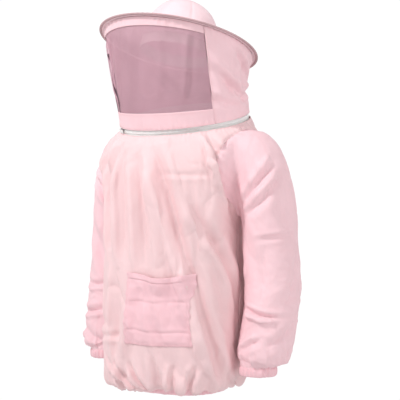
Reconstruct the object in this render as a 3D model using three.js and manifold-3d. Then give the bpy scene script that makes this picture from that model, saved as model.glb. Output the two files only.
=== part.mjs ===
// Beekeeping jacket with a zip-on round-hat hood, modelled as an assembly of cloth pieces and hardware.
// Millimetres, +Z up. The wearer faces -Y, the wearer's left is +X.
// The origin is the centre of the neck zip ring.
import * as THREE from 'three';
import Module from 'manifold-3d';

const wasm = await Module();
wasm.setup();

const { sin, cos, abs, sign, pow, PI, max, min } = Math;
const deg = PI / 180;

// ---------------------------------------------------------------- driving dimensions

const cloth = 3;               // thickness that stands for two lapped layers of cloth
const veilThickness = 2;
const seamGap = 0.4;           // clearance between pieces that are sewn together
const moveGap = 4;             // clearance between a sleeve head and its armhole

const neckRadius = 158;        // centre line of the neck zip
const neckTilt = 11 * deg;     // the ring sits lower at the throat

const jacketLength = 636;      // from the neck ring centre down to the top of the hem casing
const centreBehind = -38;      // the body hangs this far forward of the neck ring
const shoulderOverhang = 23;   // the yoke spreads this far past the neckline at each side
const chestHalf = 155;         // half widths of the body
const bloomHalf = 170;
const hemHalf = 134;
const chestDepth = 148;        // half depths of the body
const bloomDepth = 158;
const hemDepth = 110;
const hemHeight = 24;

const shoulderDrop = 90;       // sleeve pivot below the neck ring centre
const pivotBeyondYoke = 14;    // sleeve pivot outside the yoke's edge
const shoulderBack = 20;
const sleeveHead = 62;         // radius of the sleeve head about the raising axis
const sleeveHeadDepth = 78;
const sleeveHalf = 60;         // half width and half depth of the hanging sleeve
const sleeveDepth = 76;
const sleeveClearance = 8;     // between the hanging sleeve and the widest part of the body
const sleeveLength = 496;      // from the pivot down to the cuff casing
const cuffHalf = 46;
const cuffForward = 22;        // the wrist hangs this far forward of the neck ring centre
const cuffHeight = 22;

const zipChainHeight = 3;      // one side of the zip teeth
const zipChainDepth = 4;
const zipSplit = 1.5;          // between the two rows of teeth, where the slider's web runs
const zipTapeHeight = 16;
const zipTapeThickness = 1.2;
const clothOverTape = 1.4;     // clearance between the tape and the cloth sewn over it
const zipClosedEnd = -34 * deg;
const zipOpenEnd = 314 * deg;
const sliderPark = 2;          // between the closed slider and the pin box
const sliderLength = 13;
const sliderHeight = 10;
const sliderPlate = 1.5;
const sliderPlay = 1.4;        // between the teeth and a slider plate
const pullLength = 30;
const pullWidth = 8;
const pinRadius = 0.8;

const hatRadius = 199;
const hatTilt = 18.5 * deg;    // the brim is lower at the back
const hatForward = 27;
const hatHeight = 187;         // brim centre above the neck ring centre
const brimThickness = 3;
const crownRadius = 95;
const crownHeight = 114;
const crownCloth = 2.5;
const bindingWidth = 8;
const bindingHalf = 3.2;
const bindingWall = 1.2;
const brimOverlap = 2.8;       // how far the brim runs into its binding
const wireRadius = 1.3;
const sweatbandHeight = 28;
const sweatbandThickness = 1.5;

const veilSpan = 53 * deg;     // half angle of the mesh window
const veilInset = 12;          // the veil hangs this far in from the edge of the brim
const lowerBandShare = 0.18;   // share of the hood height taken by the cloth under the mesh
const upperBandHeight = 15;    // cloth strip between the brim and the mesh
const napeHollow = 24;

const pocketWidth = 160;
const pocketHeight = 168;
const pocketOffset = 57;       // towards the wearer's left
const pocketAboveHem = 104;    // from the hem casing up to the bottom of the pocket
const pocketGape = 12;         // room inside the pocket
const pocketCloth = 2;

// ---------------------------------------------------------------- colours

const pink = new THREE.MeshStandardMaterial({ color: 0xf3c9cd, roughness: 0.9, metalness: 0 });
const palePink = new THREE.MeshStandardMaterial({ color: 0xf8dcdc, roughness: 0.9, metalness: 0 });
const mauve = new THREE.MeshStandardMaterial({ color: 0xc795a8, roughness: 0.8, metalness: 0 });
const piping = new THREE.MeshStandardMaterial({ color: 0xc98d93, roughness: 0.8, metalness: 0 });
const white = new THREE.MeshStandardMaterial({ color: 0xf4f1ee, roughness: 0.7, metalness: 0 });
const zipWhite = new THREE.MeshStandardMaterial({ color: 0xf2f0ec, roughness: 0.45, metalness: 0 });
const steel = new THREE.MeshStandardMaterial({ color: 0xb8b8bb, roughness: 0.35, metalness: 1 });

const suit = new THREE.Group();

// ---------------------------------------------------------------- geometry helpers

function place(name, geometry, material) {
  const mesh = new THREE.Mesh(geometry, material);
  mesh.name = name;
  mesh.geometry.computeVertexNormals();
  suit.add(mesh);
  return mesh;
}

function geometryFrom(points, triangles) {
  const geometry = new THREE.BufferGeometry();
  const numbers = points.flatMap((p) => [p.x, p.y, p.z]);
  geometry.setAttribute('position', new THREE.Float32BufferAttribute(numbers, 3));
  geometry.setIndex(triangles.flat());
  return geometry;
}

// A solid swept through closed loops: pointAt(turn, along), both 0..1, with flat fans on the two ends.
function loftGeometry(pointAt, columns, rows) {
  const points = [];
  const triangles = [];
  for (let row = 0; row <= rows; row++) {
    for (let column = 0; column < columns; column++) points.push(pointAt(column / columns, row / rows));
  }
  for (let row = 0; row < rows; row++) {
    for (let column = 0; column < columns; column++) {
      const a = row * columns + column;
      const b = row * columns + (column + 1) % columns;
      triangles.push([a, a + columns, b], [b, a + columns, b + columns]);
    }
  }
  for (const row of [0, rows]) {
    const loop = points.slice(row * columns, (row + 1) * columns);
    const middle = loop.reduce((sum, p) => sum.add(p), new THREE.Vector3()).divideScalar(columns);
    const hub = points.push(middle) - 1;
    for (let column = 0; column < columns; column++) {
      const a = row * columns + column;
      const b = row * columns + (column + 1) % columns;
      triangles.push(row === 0 ? [a, b, hub] : [b, a, hub]);
    }
  }
  return geometryFrom(points, triangles);
}

// A sheet of even thickness about the surface pointAt(across, up), both 0..1, closed on all four edges.
function sheetGeometry(pointAt, columns, rows, thickness) {
  const points = [];
  const triangles = [];
  const step = 1e-3;
  for (const side of [1, -1]) {
    for (let row = 0; row <= rows; row++) {
      for (let column = 0; column <= columns; column++) {
        const u = column / columns;
        const v = row / rows;
        const across = pointAt(min(u + step, 1), v).sub(pointAt(max(u - step, 0), v));
        const up = pointAt(u, min(v + step, 1)).sub(pointAt(u, max(v - step, 0)));
        const outward = across.cross(up).normalize();
        points.push(pointAt(u, v).addScaledVector(outward, side * thickness / 2));
      }
    }
  }
  const wide = columns + 1;
  const layer = wide * (rows + 1);
  for (let row = 0; row < rows; row++) {
    for (let column = 0; column < columns; column++) {
      const a = row * wide + column;
      const b = a + 1;
      const c = a + wide;
      const d = c + 1;
      triangles.push([a, b, c], [b, d, c]);
      triangles.push([layer + a, layer + c, layer + b], [layer + b, layer + c, layer + d]);
    }
  }
  const edge = (a, b) => triangles.push([b, a, layer + a], [b, layer + a, layer + b]);
  for (let column = 0; column < columns; column++) {
    edge(column, column + 1);
    edge(rows * wide + column + 1, rows * wide + column);
  }
  for (let row = 0; row < rows; row++) {
    edge((row + 1) * wide, row * wide);
    edge(row * wide + columns, (row + 1) * wide + columns);
  }
  return geometryFrom(points, triangles);
}

function mirrored(geometry) {
  const copy = geometry.clone().applyMatrix4(new THREE.Matrix4().makeScale(-1, 1, 1));
  const index = copy.getIndex().array;
  for (let i = 0; i < index.length; i += 3) [index[i], index[i + 1]] = [index[i + 1], index[i]];
  return copy;
}

function welded(geometry) {
  const position = geometry.getAttribute('position');
  const source = geometry.getIndex();
  const count = source ? source.count : position.count;
  const seen = new Map();
  const vertices = [];
  const triangles = [];
  for (let i = 0; i < count; i++) {
    const at = source ? source.getX(i) : i;
    const p = [position.getX(at), position.getY(at), position.getZ(at)];
    const key = p.map((value) => Math.round(value * 1e4)).join();
    if (!seen.has(key)) {
      seen.set(key, vertices.length / 3);
      vertices.push(...p);
    }
    triangles.push(seen.get(key));
  }
  const kept = [];
  for (let i = 0; i < triangles.length; i += 3) {
    const [a, b, c] = triangles.slice(i, i + 3);
    if (a !== b && b !== c && c !== a) kept.push(a, b, c);
  }
  return { vertices, triangles: kept };
}

function solid(geometry) {
  const { vertices, triangles } = welded(geometry);
  return new wasm.Manifold(new wasm.Mesh({
    numProp: 3,
    vertProperties: Float32Array.from(vertices),
    triVerts: Uint32Array.from(triangles),
  }));
}

function fromSolid(manifold) {
  const mesh = manifold.getMesh();
  const geometry = new THREE.BufferGeometry();
  geometry.setAttribute('position', new THREE.Float32BufferAttribute(mesh.vertProperties, 3));
  geometry.setIndex(Array.from(mesh.triVerts));
  return geometry;
}

function box(x0, x1, y0, y1, z0, z1) {
  const geometry = new THREE.BoxGeometry(x1 - x0, y1 - y0, z1 - z0);
  return geometry.translate((x0 + x1) / 2, (y0 + y1) / 2, (z0 + z1) / 2);
}

// Catmull-Rom through rows of numbers.
function blendRows(rows, along) {
  const last = rows.length - 1;
  const x = min(max(along, 0), 1) * last;
  const i = min(Math.floor(x), last - 1);
  const t = x - i;
  const [a, b, c, d] = [rows[max(i - 1, 0)], rows[i], rows[i + 1], rows[min(i + 2, last)]];
  return b.map((_, k) => 0.5 * (2 * b[k] + (c[k] - a[k]) * t
    + (2 * a[k] - 5 * b[k] + 4 * c[k] - d[k]) * t * t
    + (3 * b[k] - a[k] - 3 * c[k] + d[k]) * t * t * t));
}

// ---------------------------------------------------------------- reference frames

// A point by its angle from the throat (turning to the wearer's left), radius and height on the neck axis.
function onNeck(angle, radius, height) {
  const forward = radius * cos(angle);
  return new THREE.Vector3(
    radius * sin(angle),
    -forward * cos(neckTilt) - height * sin(neckTilt),
    -forward * sin(neckTilt) + height * cos(neckTilt),
  );
}

// The same for the hat, about the brim's centre.
function onHat(angle, radius, height) {
  const forward = radius * cos(angle);
  return new THREE.Vector3(
    radius * sin(angle),
    -hatForward - forward * cos(hatTilt) + height * sin(hatTilt),
    hatHeight + forward * sin(hatTilt) + height * cos(hatTilt),
  );
}

// ---------------------------------------------------------------- body of the jacket

const clothEdge = zipTapeHeight / 2;   // the cloth stops this far from the middle of the zip
const neckOuter = neckRadius + zipTapeThickness / 2 + clothOverTape + cloth;
const shoulderHalf = neckOuter + shoulderOverhang;
const chestLevel = 262;                // narrowest part of the body, below the neck ring centre
const bottom = -jacketLength;

// half width, front y, back y, z at the front, at the sides and at the back, corner power
function bodyRows(shrink) {
  const front = (depth) => centreBehind - depth + shrink;
  const back = (depth) => centreBehind + depth - shrink;
  const low = neckOuter * sin(neckTilt);
  const ring = neckOuter * cos(neckTilt) - shrink;
  const drop = clothEdge * cos(neckTilt);
  const lean = clothEdge * sin(neckTilt);
  const yokeFront = -ring - 20;
  const yokeBack = ring - 13;
  const bladeBack = (yokeBack - 12 + back(chestDepth)) / 2;
  const under = (share) => -chestLevel - (jacketLength - chestLevel) * share;
  const level = (z) => [z, z, z];
  return [
    [neckOuter - shrink, -ring + lean, ring + lean, -low - drop, -drop, low - drop, 2],
    [neckOuter + 14 - shrink, yokeFront + 5, ring + 5, -low - 24, -22, low - 26, 2.05],
    [shoulderHalf - 8 - shrink, yokeFront, yokeBack, -low - 52, -48, -26, 2.15],
    [shoulderHalf - shrink, yokeFront - 2, yokeBack - 12, -112, -90, -70, 2.3],
    [shoulderHalf - 12 - shrink, front(chestDepth), bladeBack, -152, -140, -128, 2.4],
    [chestHalf + 4 - shrink, front(chestDepth), back(chestDepth + 4), -200, -198, -192, 2.5],
    [chestHalf - shrink, front(chestDepth + 2), back(chestDepth), ...level(under(0)), 2.5],
    [chestHalf + 5 - shrink, front(chestDepth + 4), back(chestDepth), ...level(under(0.22)), 2.5],
    [bloomHalf - 3 - shrink, front(bloomDepth - 2), back(bloomDepth - 6), ...level(under(0.45)), 2.5],
    [bloomHalf - shrink, front(bloomDepth), back(bloomDepth - 2), ...level(under(0.67)), 2.6],
    [bloomHalf - 1 - shrink, front(bloomDepth - 2), back(bloomDepth - 4), ...level(under(0.84)), 2.6],
    [bloomHalf - 12 - shrink, front(bloomDepth - 20), back(bloomDepth - 22), ...level(under(0.945)), 2.5],
    [hemHalf - shrink, front(hemDepth), back(hemDepth), ...level(under(1)), 2.4],
  ];
}

const bodyColumns = 36;
const bodySteps = 15;
const bodyOuterRows = bodyRows(0);
const bodyInnerRows = bodyRows(cloth);

function bodyPoint(rows, angle, along) {
  const [halfWidth, front, back, zFront, zSide, zBack, power] = blendRows(rows, along);
  const shape = (value) => sign(value) * pow(abs(value), 2 / power);
  const middle = (front + back) / 2;
  const halfDepth = (back - front) / 2;
  const c = cos(angle);
  const mean = (zFront + zBack) / 4 + zSide / 2;
  const swing = (zFront - zBack) / 2;
  const saddle = (zFront + zBack) / 4 - zSide / 2;
  return new THREE.Vector3(
    halfWidth * shape(sin(angle)),
    middle - halfDepth * shape(c),
    mean + swing * c + saddle * cos(2 * angle),
  );
}

function bodyLoft(rows, rise, sink) {
  const steps = bodySteps;
  const firstStep = 1 / (steps + 2);
  return loftGeometry((turn, along) => {
    const t = (along - firstStep) / (1 - 2 * firstStep);
    const point = bodyPoint(rows, turn * 2 * PI, t);
    if (t < -1e-9) point.z += rise;
    if (t > 1 + 1e-9) point.z -= sink;
    return point;
  }, bodyColumns, steps + 2);
}

function plainBodyLoft(rows) {
  return loftGeometry((turn, along) => bodyPoint(rows, turn * 2 * PI, along), bodyColumns, bodySteps);
}

// ---------------------------------------------------------------- sleeves

const pivot = new THREE.Vector3(shoulderHalf + pivotBeyondYoke, shoulderBack, -shoulderDrop);
const sleeveReach = max(bloomHalf, shoulderHalf - 12) + sleeveClearance + sleeveHalf;
const wristZ = pivot.z - sleeveLength;

// centre x, y, z, half width, half depth down the left sleeve
function sleeveRows(grow) {
  const reach = sleeveReach;
  const narrow = (share) => cuffHalf + (sleeveHalf - cuffHalf) * share + grow;
  const shallow = (share) => cuffHalf + (sleeveDepth - cuffHalf) * share + grow;
  const down = (share) => pivot.z - sleeveLength * share;
  return [
    [pivot.x, pivot.y, pivot.z, sleeveHead - 1 + grow, sleeveHeadDepth - 1 + grow],
    [pivot.x + (reach - pivot.x) * 0.45, pivot.y + 6, down(0.13), narrow(1), shallow(1)],
    [pivot.x + (reach - pivot.x) * 0.85, pivot.y + 12, down(0.3), narrow(1), shallow(1)],
    [reach, pivot.y + 14, down(0.48), narrow(1), shallow(1.02)],
    [reach + 1, pivot.y + 6, down(0.66), narrow(1), shallow(1)],
    [reach, pivot.y - 14, down(0.83), narrow(0.95), shallow(0.85)],
    [reach - 4, -cuffForward + 4, down(0.94), narrow(0.7), shallow(0.5)],
    [reach - 6, -cuffForward, down(1), narrow(0.15), shallow(0.05)],
  ];
}

const sleeveColumns = 18;
const sleeveSteps = 10;
const sleeveOuterRows = sleeveRows(0);
const sleeveInnerRows = sleeveRows(-cloth);

function sleevePoint(rows, angle, along) {
  const [x, y, z, halfWidth, halfDepth] = blendRows(rows, along);
  return new THREE.Vector3(x + halfWidth * cos(angle), y + halfDepth * sin(angle), z);
}

function sleeveLoft(rows, sink) {
  const steps = sleeveSteps;
  return loftGeometry((turn, along) => {
    const t = along * (steps + 1) / steps;
    const point = sleevePoint(rows, turn * 2 * PI, t);
    if (t > 1 + 1e-9) point.z -= sink;
    return point;
  }, sleeveColumns, steps + 1);
}

function headGeometry(grow) {
  const ball = new THREE.SphereGeometry(1, sleeveColumns, sleeveSteps);
  ball.scale(sleeveHead + grow, sleeveHeadDepth + grow, sleeveHead + grow);
  return ball.translate(pivot.x, pivot.y, pivot.z);
}

function sleeveSolid() {
  const outer = solid(headGeometry(0)).add(solid(loftGeometry(
    (turn, along) => sleevePoint(sleeveOuterRows, turn * 2 * PI, along), sleeveColumns, sleeveSteps)));
  const inner = solid(headGeometry(-cloth)).add(solid(sleeveLoft(sleeveInnerRows, 40)));
  const armOpening = box(pivot.x - 2 * sleeveHead, pivot.x - sleeveHead * 0.45,
    pivot.y - sleeveHeadDepth * 0.78, pivot.y + sleeveHeadDepth * 0.78,
    pivot.z - sleeveHead * 1.1, pivot.z + sleeveHead * 0.72);
  return outer.subtract(inner).subtract(solid(armOpening));
}

const sleeveLeft = fromSolid(sleeveSolid());

// Everything that the raised or hanging sleeve needs clear of the body.
function armholeCutter() {
  const head = solid(headGeometry(moveGap));
  const rows = sleeveRows(moveGap);
  const hanging = solid(loftGeometry(
    (turn, along) => sleevePoint(rows, turn * 2 * PI, along), sleeveColumns, sleeveSteps));
  return fromSolid(head.add(hanging));
}

// ---------------------------------------------------------------- bodice panels, split at the side seams

const armholeLeft = armholeCutter();
const bodyShell = solid(plainBodyLoft(bodyOuterRows))
  .subtract(solid(bodyLoft(bodyInnerRows, 30, 30)))
  .subtract(solid(armholeLeft))
  .subtract(solid(mirrored(armholeLeft)));
const seamY = centreBehind + 30;
const far = 1000;
const frontHalf = solid(box(-far, far, -far, seamY - seamGap / 2, -far, far));
const backHalf = solid(box(-far, far, seamY + seamGap / 2, far, -far, far));
place('bodice_front', fromSolid(bodyShell.intersect(frontHalf)), pink);
place('bodice_back', fromSolid(bodyShell.intersect(backHalf)), pink);

place('sleeve_left', sleeveLeft, pink);
place('sleeve_right', mirrored(sleeveLeft), pink);

// ---------------------------------------------------------------- elasticated edges

// An upright channel of cloth around an opening, open at the top so that its elastic can be threaded in.
function casingGeometry(outline, height, top, wall, room) {
  const profile = [
    [0, 0], [0, -height], [-2 * wall - room, -height], [-2 * wall - room, 0],
    [-wall - room, 0], [-wall - room, -height + wall], [-wall, -height + wall], [-wall, 0],
  ];
  return ringGeometry(outline, profile, top);
}

// A closed ring: the profile's [inset, z] corners carried round outline(turn, inset).
function ringGeometry(outline, profile, top) {
  const columns = 28;
  const points = [];
  const triangles = [];
  const size = profile.length;
  for (let column = 0; column < columns; column++) {
    for (const [inset, z] of profile) {
      const point = outline(column / columns, inset);
      points.push(new THREE.Vector3(point.x, point.y, top + z));
    }
  }
  for (let column = 0; column < columns; column++) {
    for (let corner = 0; corner < size; corner++) {
      const a = column * size + corner;
      const b = column * size + (corner + 1) % size;
      const c = ((column + 1) % columns) * size + corner;
      const d = ((column + 1) % columns) * size + (corner + 1) % size;
      triangles.push([a, b, c], [b, d, c]);
    }
  }
  return geometryFrom(points, triangles);
}

const casingWall = 1.2;
const casingRoom = 3;
const elasticThickness = 1.6;
const elasticInset = casingWall + (casingRoom - elasticThickness) / 2;

function hemOutline(turn, inset) {
  const angle = turn * 2 * PI;
  const power = 2 / 2.4;
  return new THREE.Vector3(
    (hemHalf + inset) * sign(sin(angle)) * pow(abs(sin(angle)), power),
    centreBehind - (hemDepth + inset) * sign(cos(angle)) * pow(abs(cos(angle)), power),
    0,
  );
}

function elasticProfile(height) {
  return [
    [-elasticInset, -casingWall - height],
    [-elasticInset - elasticThickness, -casingWall - height],
    [-elasticInset - elasticThickness, -casingWall],
    [-elasticInset, -casingWall],
  ];
}

const hemTop = bottom - seamGap;
const hemElasticHeight = hemHeight - 2 * casingWall - 1;
place('hem_casing', casingGeometry(hemOutline, hemHeight, hemTop, casingWall, casingRoom), pink);
place('hem_elastic', ringGeometry(hemOutline, elasticProfile(hemElasticHeight), hemTop), white);

const cuffTop = wristZ - seamGap;
const [cuffX, cuffY, , cuffWide, cuffDeep] = blendRows(sleeveOuterRows, 1);
const cuffOutline = (side) => (turn, inset) => new THREE.Vector3(
  side * cuffX + (cuffWide + inset) * sin(turn * 2 * PI),
  cuffY - (cuffDeep + inset) * cos(turn * 2 * PI),
  0,
);
const cuffElasticHeight = cuffHeight - 2 * casingWall - 1;
for (const [side, label] of [[1, 'left'], [-1, 'right']]) {
  const outline = cuffOutline(side);
  place(`cuff_casing_${label}`, casingGeometry(outline, cuffHeight, cuffTop, casingWall, casingRoom), pink);
  place(`cuff_elastic_${label}`, ringGeometry(outline, elasticProfile(cuffElasticHeight), cuffTop), white);
}

// ---------------------------------------------------------------- patch pocket

// Outer surface of the body at a height z and a distance across from the middle of the front.
function frontSurface(x, z) {
  let low = 0.3;
  let high = 1;
  for (let i = 0; i < 30; i++) {
    const middle = (low + high) / 2;
    if (bodyPoint(bodyOuterRows, 0, middle).z > z) low = middle;
    else high = middle;
  }
  const [halfWidth, front, back, , , , power] = blendRows(bodyOuterRows, low);
  const share = min(abs(x) / halfWidth, 0.999);
  const y = (front + back) / 2 - (back - front) / 2 * pow(1 - pow(share, power), 1 / power);
  return new THREE.Vector3(x, y, z);
}

function pocketPoint(across, up) {
  const x = pocketOffset + (across - 0.5) * pocketWidth;
  const z = bottom + pocketAboveHem + pocketHeight * up;
  const rim = min(across, 1 - across) * pocketWidth;
  const floor = up * pocketHeight;
  const edge = min(1, rim / 12) * min(1, floor / 12);
  const base = frontSurface(x, z);
  const lift = seamGap + pocketCloth / 2 + pocketGape * edge;
  const slope = frontSurface(x + 1, z).y - frontSurface(x - 1, z).y;
  const outward = new THREE.Vector3(slope / 2, -1, 0).normalize();
  return base.addScaledVector(outward, lift);
}

place('pocket', sheetGeometry(pocketPoint, 16, 12, pocketCloth), pink);

// ---------------------------------------------------------------- neck zip

// An arc of even section on the neck ring.
function neckArc(from, to, radius, depth, low, high) {
  const columns = Math.ceil((to - from) / (7 * deg));
  return sheetGeometry((across, up) => onNeck(
    from + (to - from) * across,
    radius,
    low + (high - low) * up,
  ), columns, 1, depth);
}

const chainStart = zipSplit / 2;
const chainEnd = chainStart + zipChainHeight;
const tapeStart = chainEnd + 0.3;
const tapeEnd = tapeStart + zipTapeHeight;
for (const [side, label] of [[1, 'upper'], [-1, 'lower']]) {
  const span = (a, b) => [min(side * a, side * b), max(side * a, side * b)];
  const chain = neckArc(zipClosedEnd, zipOpenEnd, neckRadius, zipChainDepth, ...span(chainStart, chainEnd));
  place(`zip_teeth_${label}`, chain, zipWhite);
  const tape = neckArc(zipClosedEnd - 3 * deg, zipOpenEnd + 3 * deg, neckRadius, zipTapeThickness,
    ...span(tapeStart, tapeEnd));
  place(`zip_tape_${label}`, tape, white);
}

// The box that the free end of the upper row is pinned into, on the lower tape's end.
const boxLength = 7;
const boxHalf = 4.5;
const boxAngle = zipOpenEnd + (boxLength / 2 + 1) / neckRadius;
const sliderAngle = boxAngle - 2 * PI + ((boxLength + sliderLength) / 2 + sliderPark) / neckRadius;

// Lays a piece modelled about the throat point (x along the zip, y into the neck, z up the neck axis)
// at an angle round the ring.
function ontoRing(geometry, angle) {
  const turn = new THREE.Matrix4().makeRotationZ(angle);
  const tilt = new THREE.Matrix4().makeRotationX(neckTilt);
  const out = new THREE.Matrix4().makeTranslation(0, -neckRadius, 0);
  return geometry.applyMatrix4(new THREE.Matrix4().multiplyMatrices(tilt, turn).multiply(out));
}

place('zip_pin_box', ontoRing(
  box(-boxLength / 2, boxLength / 2, -2.6, 2.6, -chainEnd, chainEnd), boxAngle), zipWhite);

const plateNear = zipChainDepth / 2 + sliderPlay;
const plateFar = plateNear + sliderPlate;
const pinY = -plateFar - 2.2;
const lugHalf = 1.4;
const lugOuter = sliderHeight / 2;
const lugInner = lugOuter - 1.2;

function sliderSolid() {
  const plate = (y0, y1) => solid(box(-sliderLength / 2, sliderLength / 2, y0, y1,
    -sliderHeight / 2, sliderHeight / 2));
  const web = solid(box(-3, 3, -plateNear - 0.2, plateNear + 0.2, -0.25, 0.25));
  const lug = (z0, z1) => solid(box(-lugHalf, lugHalf, pinY - lugHalf, -plateFar + 0.2, z0, z1));
  const pin = new THREE.CylinderGeometry(pinRadius, pinRadius, 2 * lugOuter - 0.6, 16).rotateX(PI / 2);
  return plate(-plateFar, -plateNear)
    .add(plate(plateNear, plateFar))
    .add(web)
    .add(lug(lugInner, lugOuter))
    .add(lug(-lugOuter, -lugInner))
    .add(solid(pin.translate(0, pinY, 0)));
}

function pullSolid() {
  const half = lugInner - 0.3;
  const eye = new THREE.CylinderGeometry(pinRadius + 1.1, pinRadius + 1.1, 2 * half, 20).rotateX(PI / 2);
  const hole = new THREE.CylinderGeometry(pinRadius + 0.3, pinRadius + 0.3, 4 * half, 16).rotateX(PI / 2);
  const neck = box(1.2, 6, -0.7, 0.7, -half, half);
  const tab = box(5, pullLength, -0.8, 0.8, -pullWidth / 2, pullWidth / 2);
  const slot = box(pullLength - 9, pullLength - 3, -5, 5, -1.6, 1.6);
  return solid(eye).add(solid(neck)).add(solid(tab)).subtract(solid(hole)).subtract(solid(slot));
}

place('zip_slider', ontoRing(fromSolid(sliderSolid()), sliderAngle), steel);
place('zip_pull', ontoRing(fromSolid(pullSolid()).translate(0, pinY, 0), sliderAngle), steel);

// ---------------------------------------------------------------- hood

const hoodBottomRadius = neckRadius + zipTapeThickness / 2 + clothOverTape + cloth / 2;
const hoodTopDrop = brimThickness / 2 + cloth / 2 + seamGap;

// The cloth stands straight up over the zip tape, then runs to the brim.
const standShare = 0.08;

function hoodPoint(angle, up) {
  if (up < standShare) {
    return onNeck(angle, hoodBottomRadius, clothEdge + (tapeEnd + 2 - clothEdge) * up / standShare);
  }
  const above = (up - standShare) / (1 - standShare);
  const low = onNeck(angle, hoodBottomRadius, tapeEnd + 2);
  const high = onHat(angle, hatRadius - veilInset, -hoodTopDrop);
  const rear = pow((1 - cos(angle)) / 2, 1.5);
  const hollow = (napeHollow * rear - 4 * (1 - rear)) * pow(sin(PI * above), 1.3);
  const outward = new THREE.Vector3(sin(angle), -cos(angle), 0);
  return low.lerp(high, above).addScaledVector(outward, -hollow);
}

const hoodHeight = hatHeight;
const seamShare = seamGap / hoodHeight;
const seamAngle = seamGap / hoodBottomRadius;
const upperBandShare = 1 - upperBandHeight / hoodHeight;

function hoodPanel(from, to, low, high, columns, rows, thickness) {
  return sheetGeometry((across, up) => hoodPoint(
    from + (to - from) * across,
    low + (high - low) * up,
  ), columns, rows, thickness);
}

const windowHalf = veilSpan - seamAngle;
place('hood_front_band', hoodPanel(-windowHalf, windowHalf, 0, lowerBandShare, 14, 3, cloth), pink);
place('veil_mesh', hoodPanel(-windowHalf, windowHalf, lowerBandShare + 3 * seamShare,
  upperBandShare - 3 * seamShare, 14, 5, veilThickness), mauve);
place('hood_brow_band', hoodPanel(-windowHalf, windowHalf, upperBandShare, 1, 14, 1, cloth), pink);
place('hood_back', hoodPanel(veilSpan + seamAngle, 2 * PI - veilSpan - seamAngle, 0, 1, 30, 12, cloth), pink);

// ---------------------------------------------------------------- hat

// Turns a closed [radius, height] outline about the hat's axis.
function hatTurning(outline, segments) {
  const points = outline.map(([radius, height]) => new THREE.Vector2(radius, height));
  const geometry = new THREE.LatheGeometry(points, segments);
  geometry.rotateX(PI / 2);
  const tilt = new THREE.Matrix4().makeRotationX(-hatTilt);
  const lift = new THREE.Matrix4().makeTranslation(0, -hatForward, hatHeight);
  return fromSolid(solid(geometry.applyMatrix4(lift.multiply(tilt))));
}

const bindingInner = hatRadius - bindingWidth;
const brimOuter = bindingInner + brimOverlap;
const half = brimThickness / 2;
place('hat_brim', hatTurning([
  [crownRadius + 0.4, -half], [brimOuter, -half], [brimOuter, half], [crownRadius + 0.4, half],
  [crownRadius + 0.4, -half],
], 48), palePink);

function crownOutline() {
  const steps = 6;
  const outer = [];
  const inner = [];
  for (let i = 0; i <= steps; i++) {
    const rise = i / steps * PI / 2;
    const at = (cut) => [max(0, (crownRadius - cut) * pow(cos(rise), 0.9)), (crownHeight - cut) * sin(rise)];
    outer.push(at(0));
    inner.push(at(crownCloth));
  }
  outer[steps][0] = 0;
  inner[steps][0] = 0;
  return [...inner.reverse(), [crownRadius - crownCloth, -half], [crownRadius, -half], ...outer];
}
place('hat_crown', hatTurning(crownOutline(), 32), palePink);

place('brim_binding', hatTurning([
  [bindingInner, -bindingHalf], [hatRadius, -bindingHalf],
  [hatRadius, bindingHalf], [bindingInner, bindingHalf],
  [bindingInner, bindingHalf - bindingWall], [hatRadius - bindingWall, bindingHalf - bindingWall],
  [hatRadius - bindingWall, bindingWall - bindingHalf], [bindingInner, bindingWall - bindingHalf],
  [bindingInner, -bindingHalf],
], 48), piping);

const wireCentre = brimOuter + 0.5 + wireRadius;
const wireOutline = Array.from({ length: 7 }, (_, i) => [
  wireCentre + wireRadius * cos(i % 6 / 6 * 2 * PI),
  wireRadius * sin(i % 6 / 6 * 2 * PI),
]);
place('brim_wire', hatTurning(wireOutline, 48), steel);

const bandOuter = crownRadius - crownCloth - 1;
place('sweatband', hatTurning([
  [bandOuter - sweatbandThickness, 3 - sweatbandHeight], [bandOuter, 3 - sweatbandHeight], [bandOuter, 3],
  [bandOuter - sweatbandThickness, 3], [bandOuter - sweatbandThickness, 3 - sweatbandHeight],
], 36), white);

export default suit;
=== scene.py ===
"""The looks of a beekeeping jacket with a zip-on round-hat hood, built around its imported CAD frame.

Metres, +Z up, the wearer faces -Y and the wearer's left is +X. The origin is the centre of the neck zip.
"""

import math

import bmesh
import bpy
import numpy as np
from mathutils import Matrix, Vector
from mathutils.bvhtree import BVHTree


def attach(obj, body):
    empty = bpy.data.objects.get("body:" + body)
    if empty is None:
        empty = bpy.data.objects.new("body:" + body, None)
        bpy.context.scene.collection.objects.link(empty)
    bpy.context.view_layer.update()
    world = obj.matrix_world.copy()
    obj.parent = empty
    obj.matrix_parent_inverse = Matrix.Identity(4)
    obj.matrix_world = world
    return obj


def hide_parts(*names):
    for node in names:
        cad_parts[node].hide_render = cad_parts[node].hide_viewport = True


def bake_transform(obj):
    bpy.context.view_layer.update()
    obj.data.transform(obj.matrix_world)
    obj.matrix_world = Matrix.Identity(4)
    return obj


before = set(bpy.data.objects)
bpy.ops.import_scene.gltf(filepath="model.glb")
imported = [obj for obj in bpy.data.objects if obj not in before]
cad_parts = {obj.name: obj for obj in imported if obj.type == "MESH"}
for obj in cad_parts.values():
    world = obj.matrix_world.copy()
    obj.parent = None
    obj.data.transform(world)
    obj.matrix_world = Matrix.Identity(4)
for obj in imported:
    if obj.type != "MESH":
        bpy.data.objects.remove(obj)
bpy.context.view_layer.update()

TAU = 2 * math.pi
MM = 0.001

# ---------------------------------------------------------------- sizes, in millimetres

NECK_RADIUS = 158.0
NECK_TILT = math.radians(11)
ZIP_EDGE = 6.2              # the cloth stops this far from the middle of the zip
HEM_TOP = -637.0
HEM_HALVES = np.array([130.0, 103.0])
HEM_POWER = 2.3             # how square the hem's oval is
BODY_AHEAD = -38.0          # middle of the body, forward of the neck ring
SIDE_SEAM = -8.0            # y of the side seams

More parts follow.
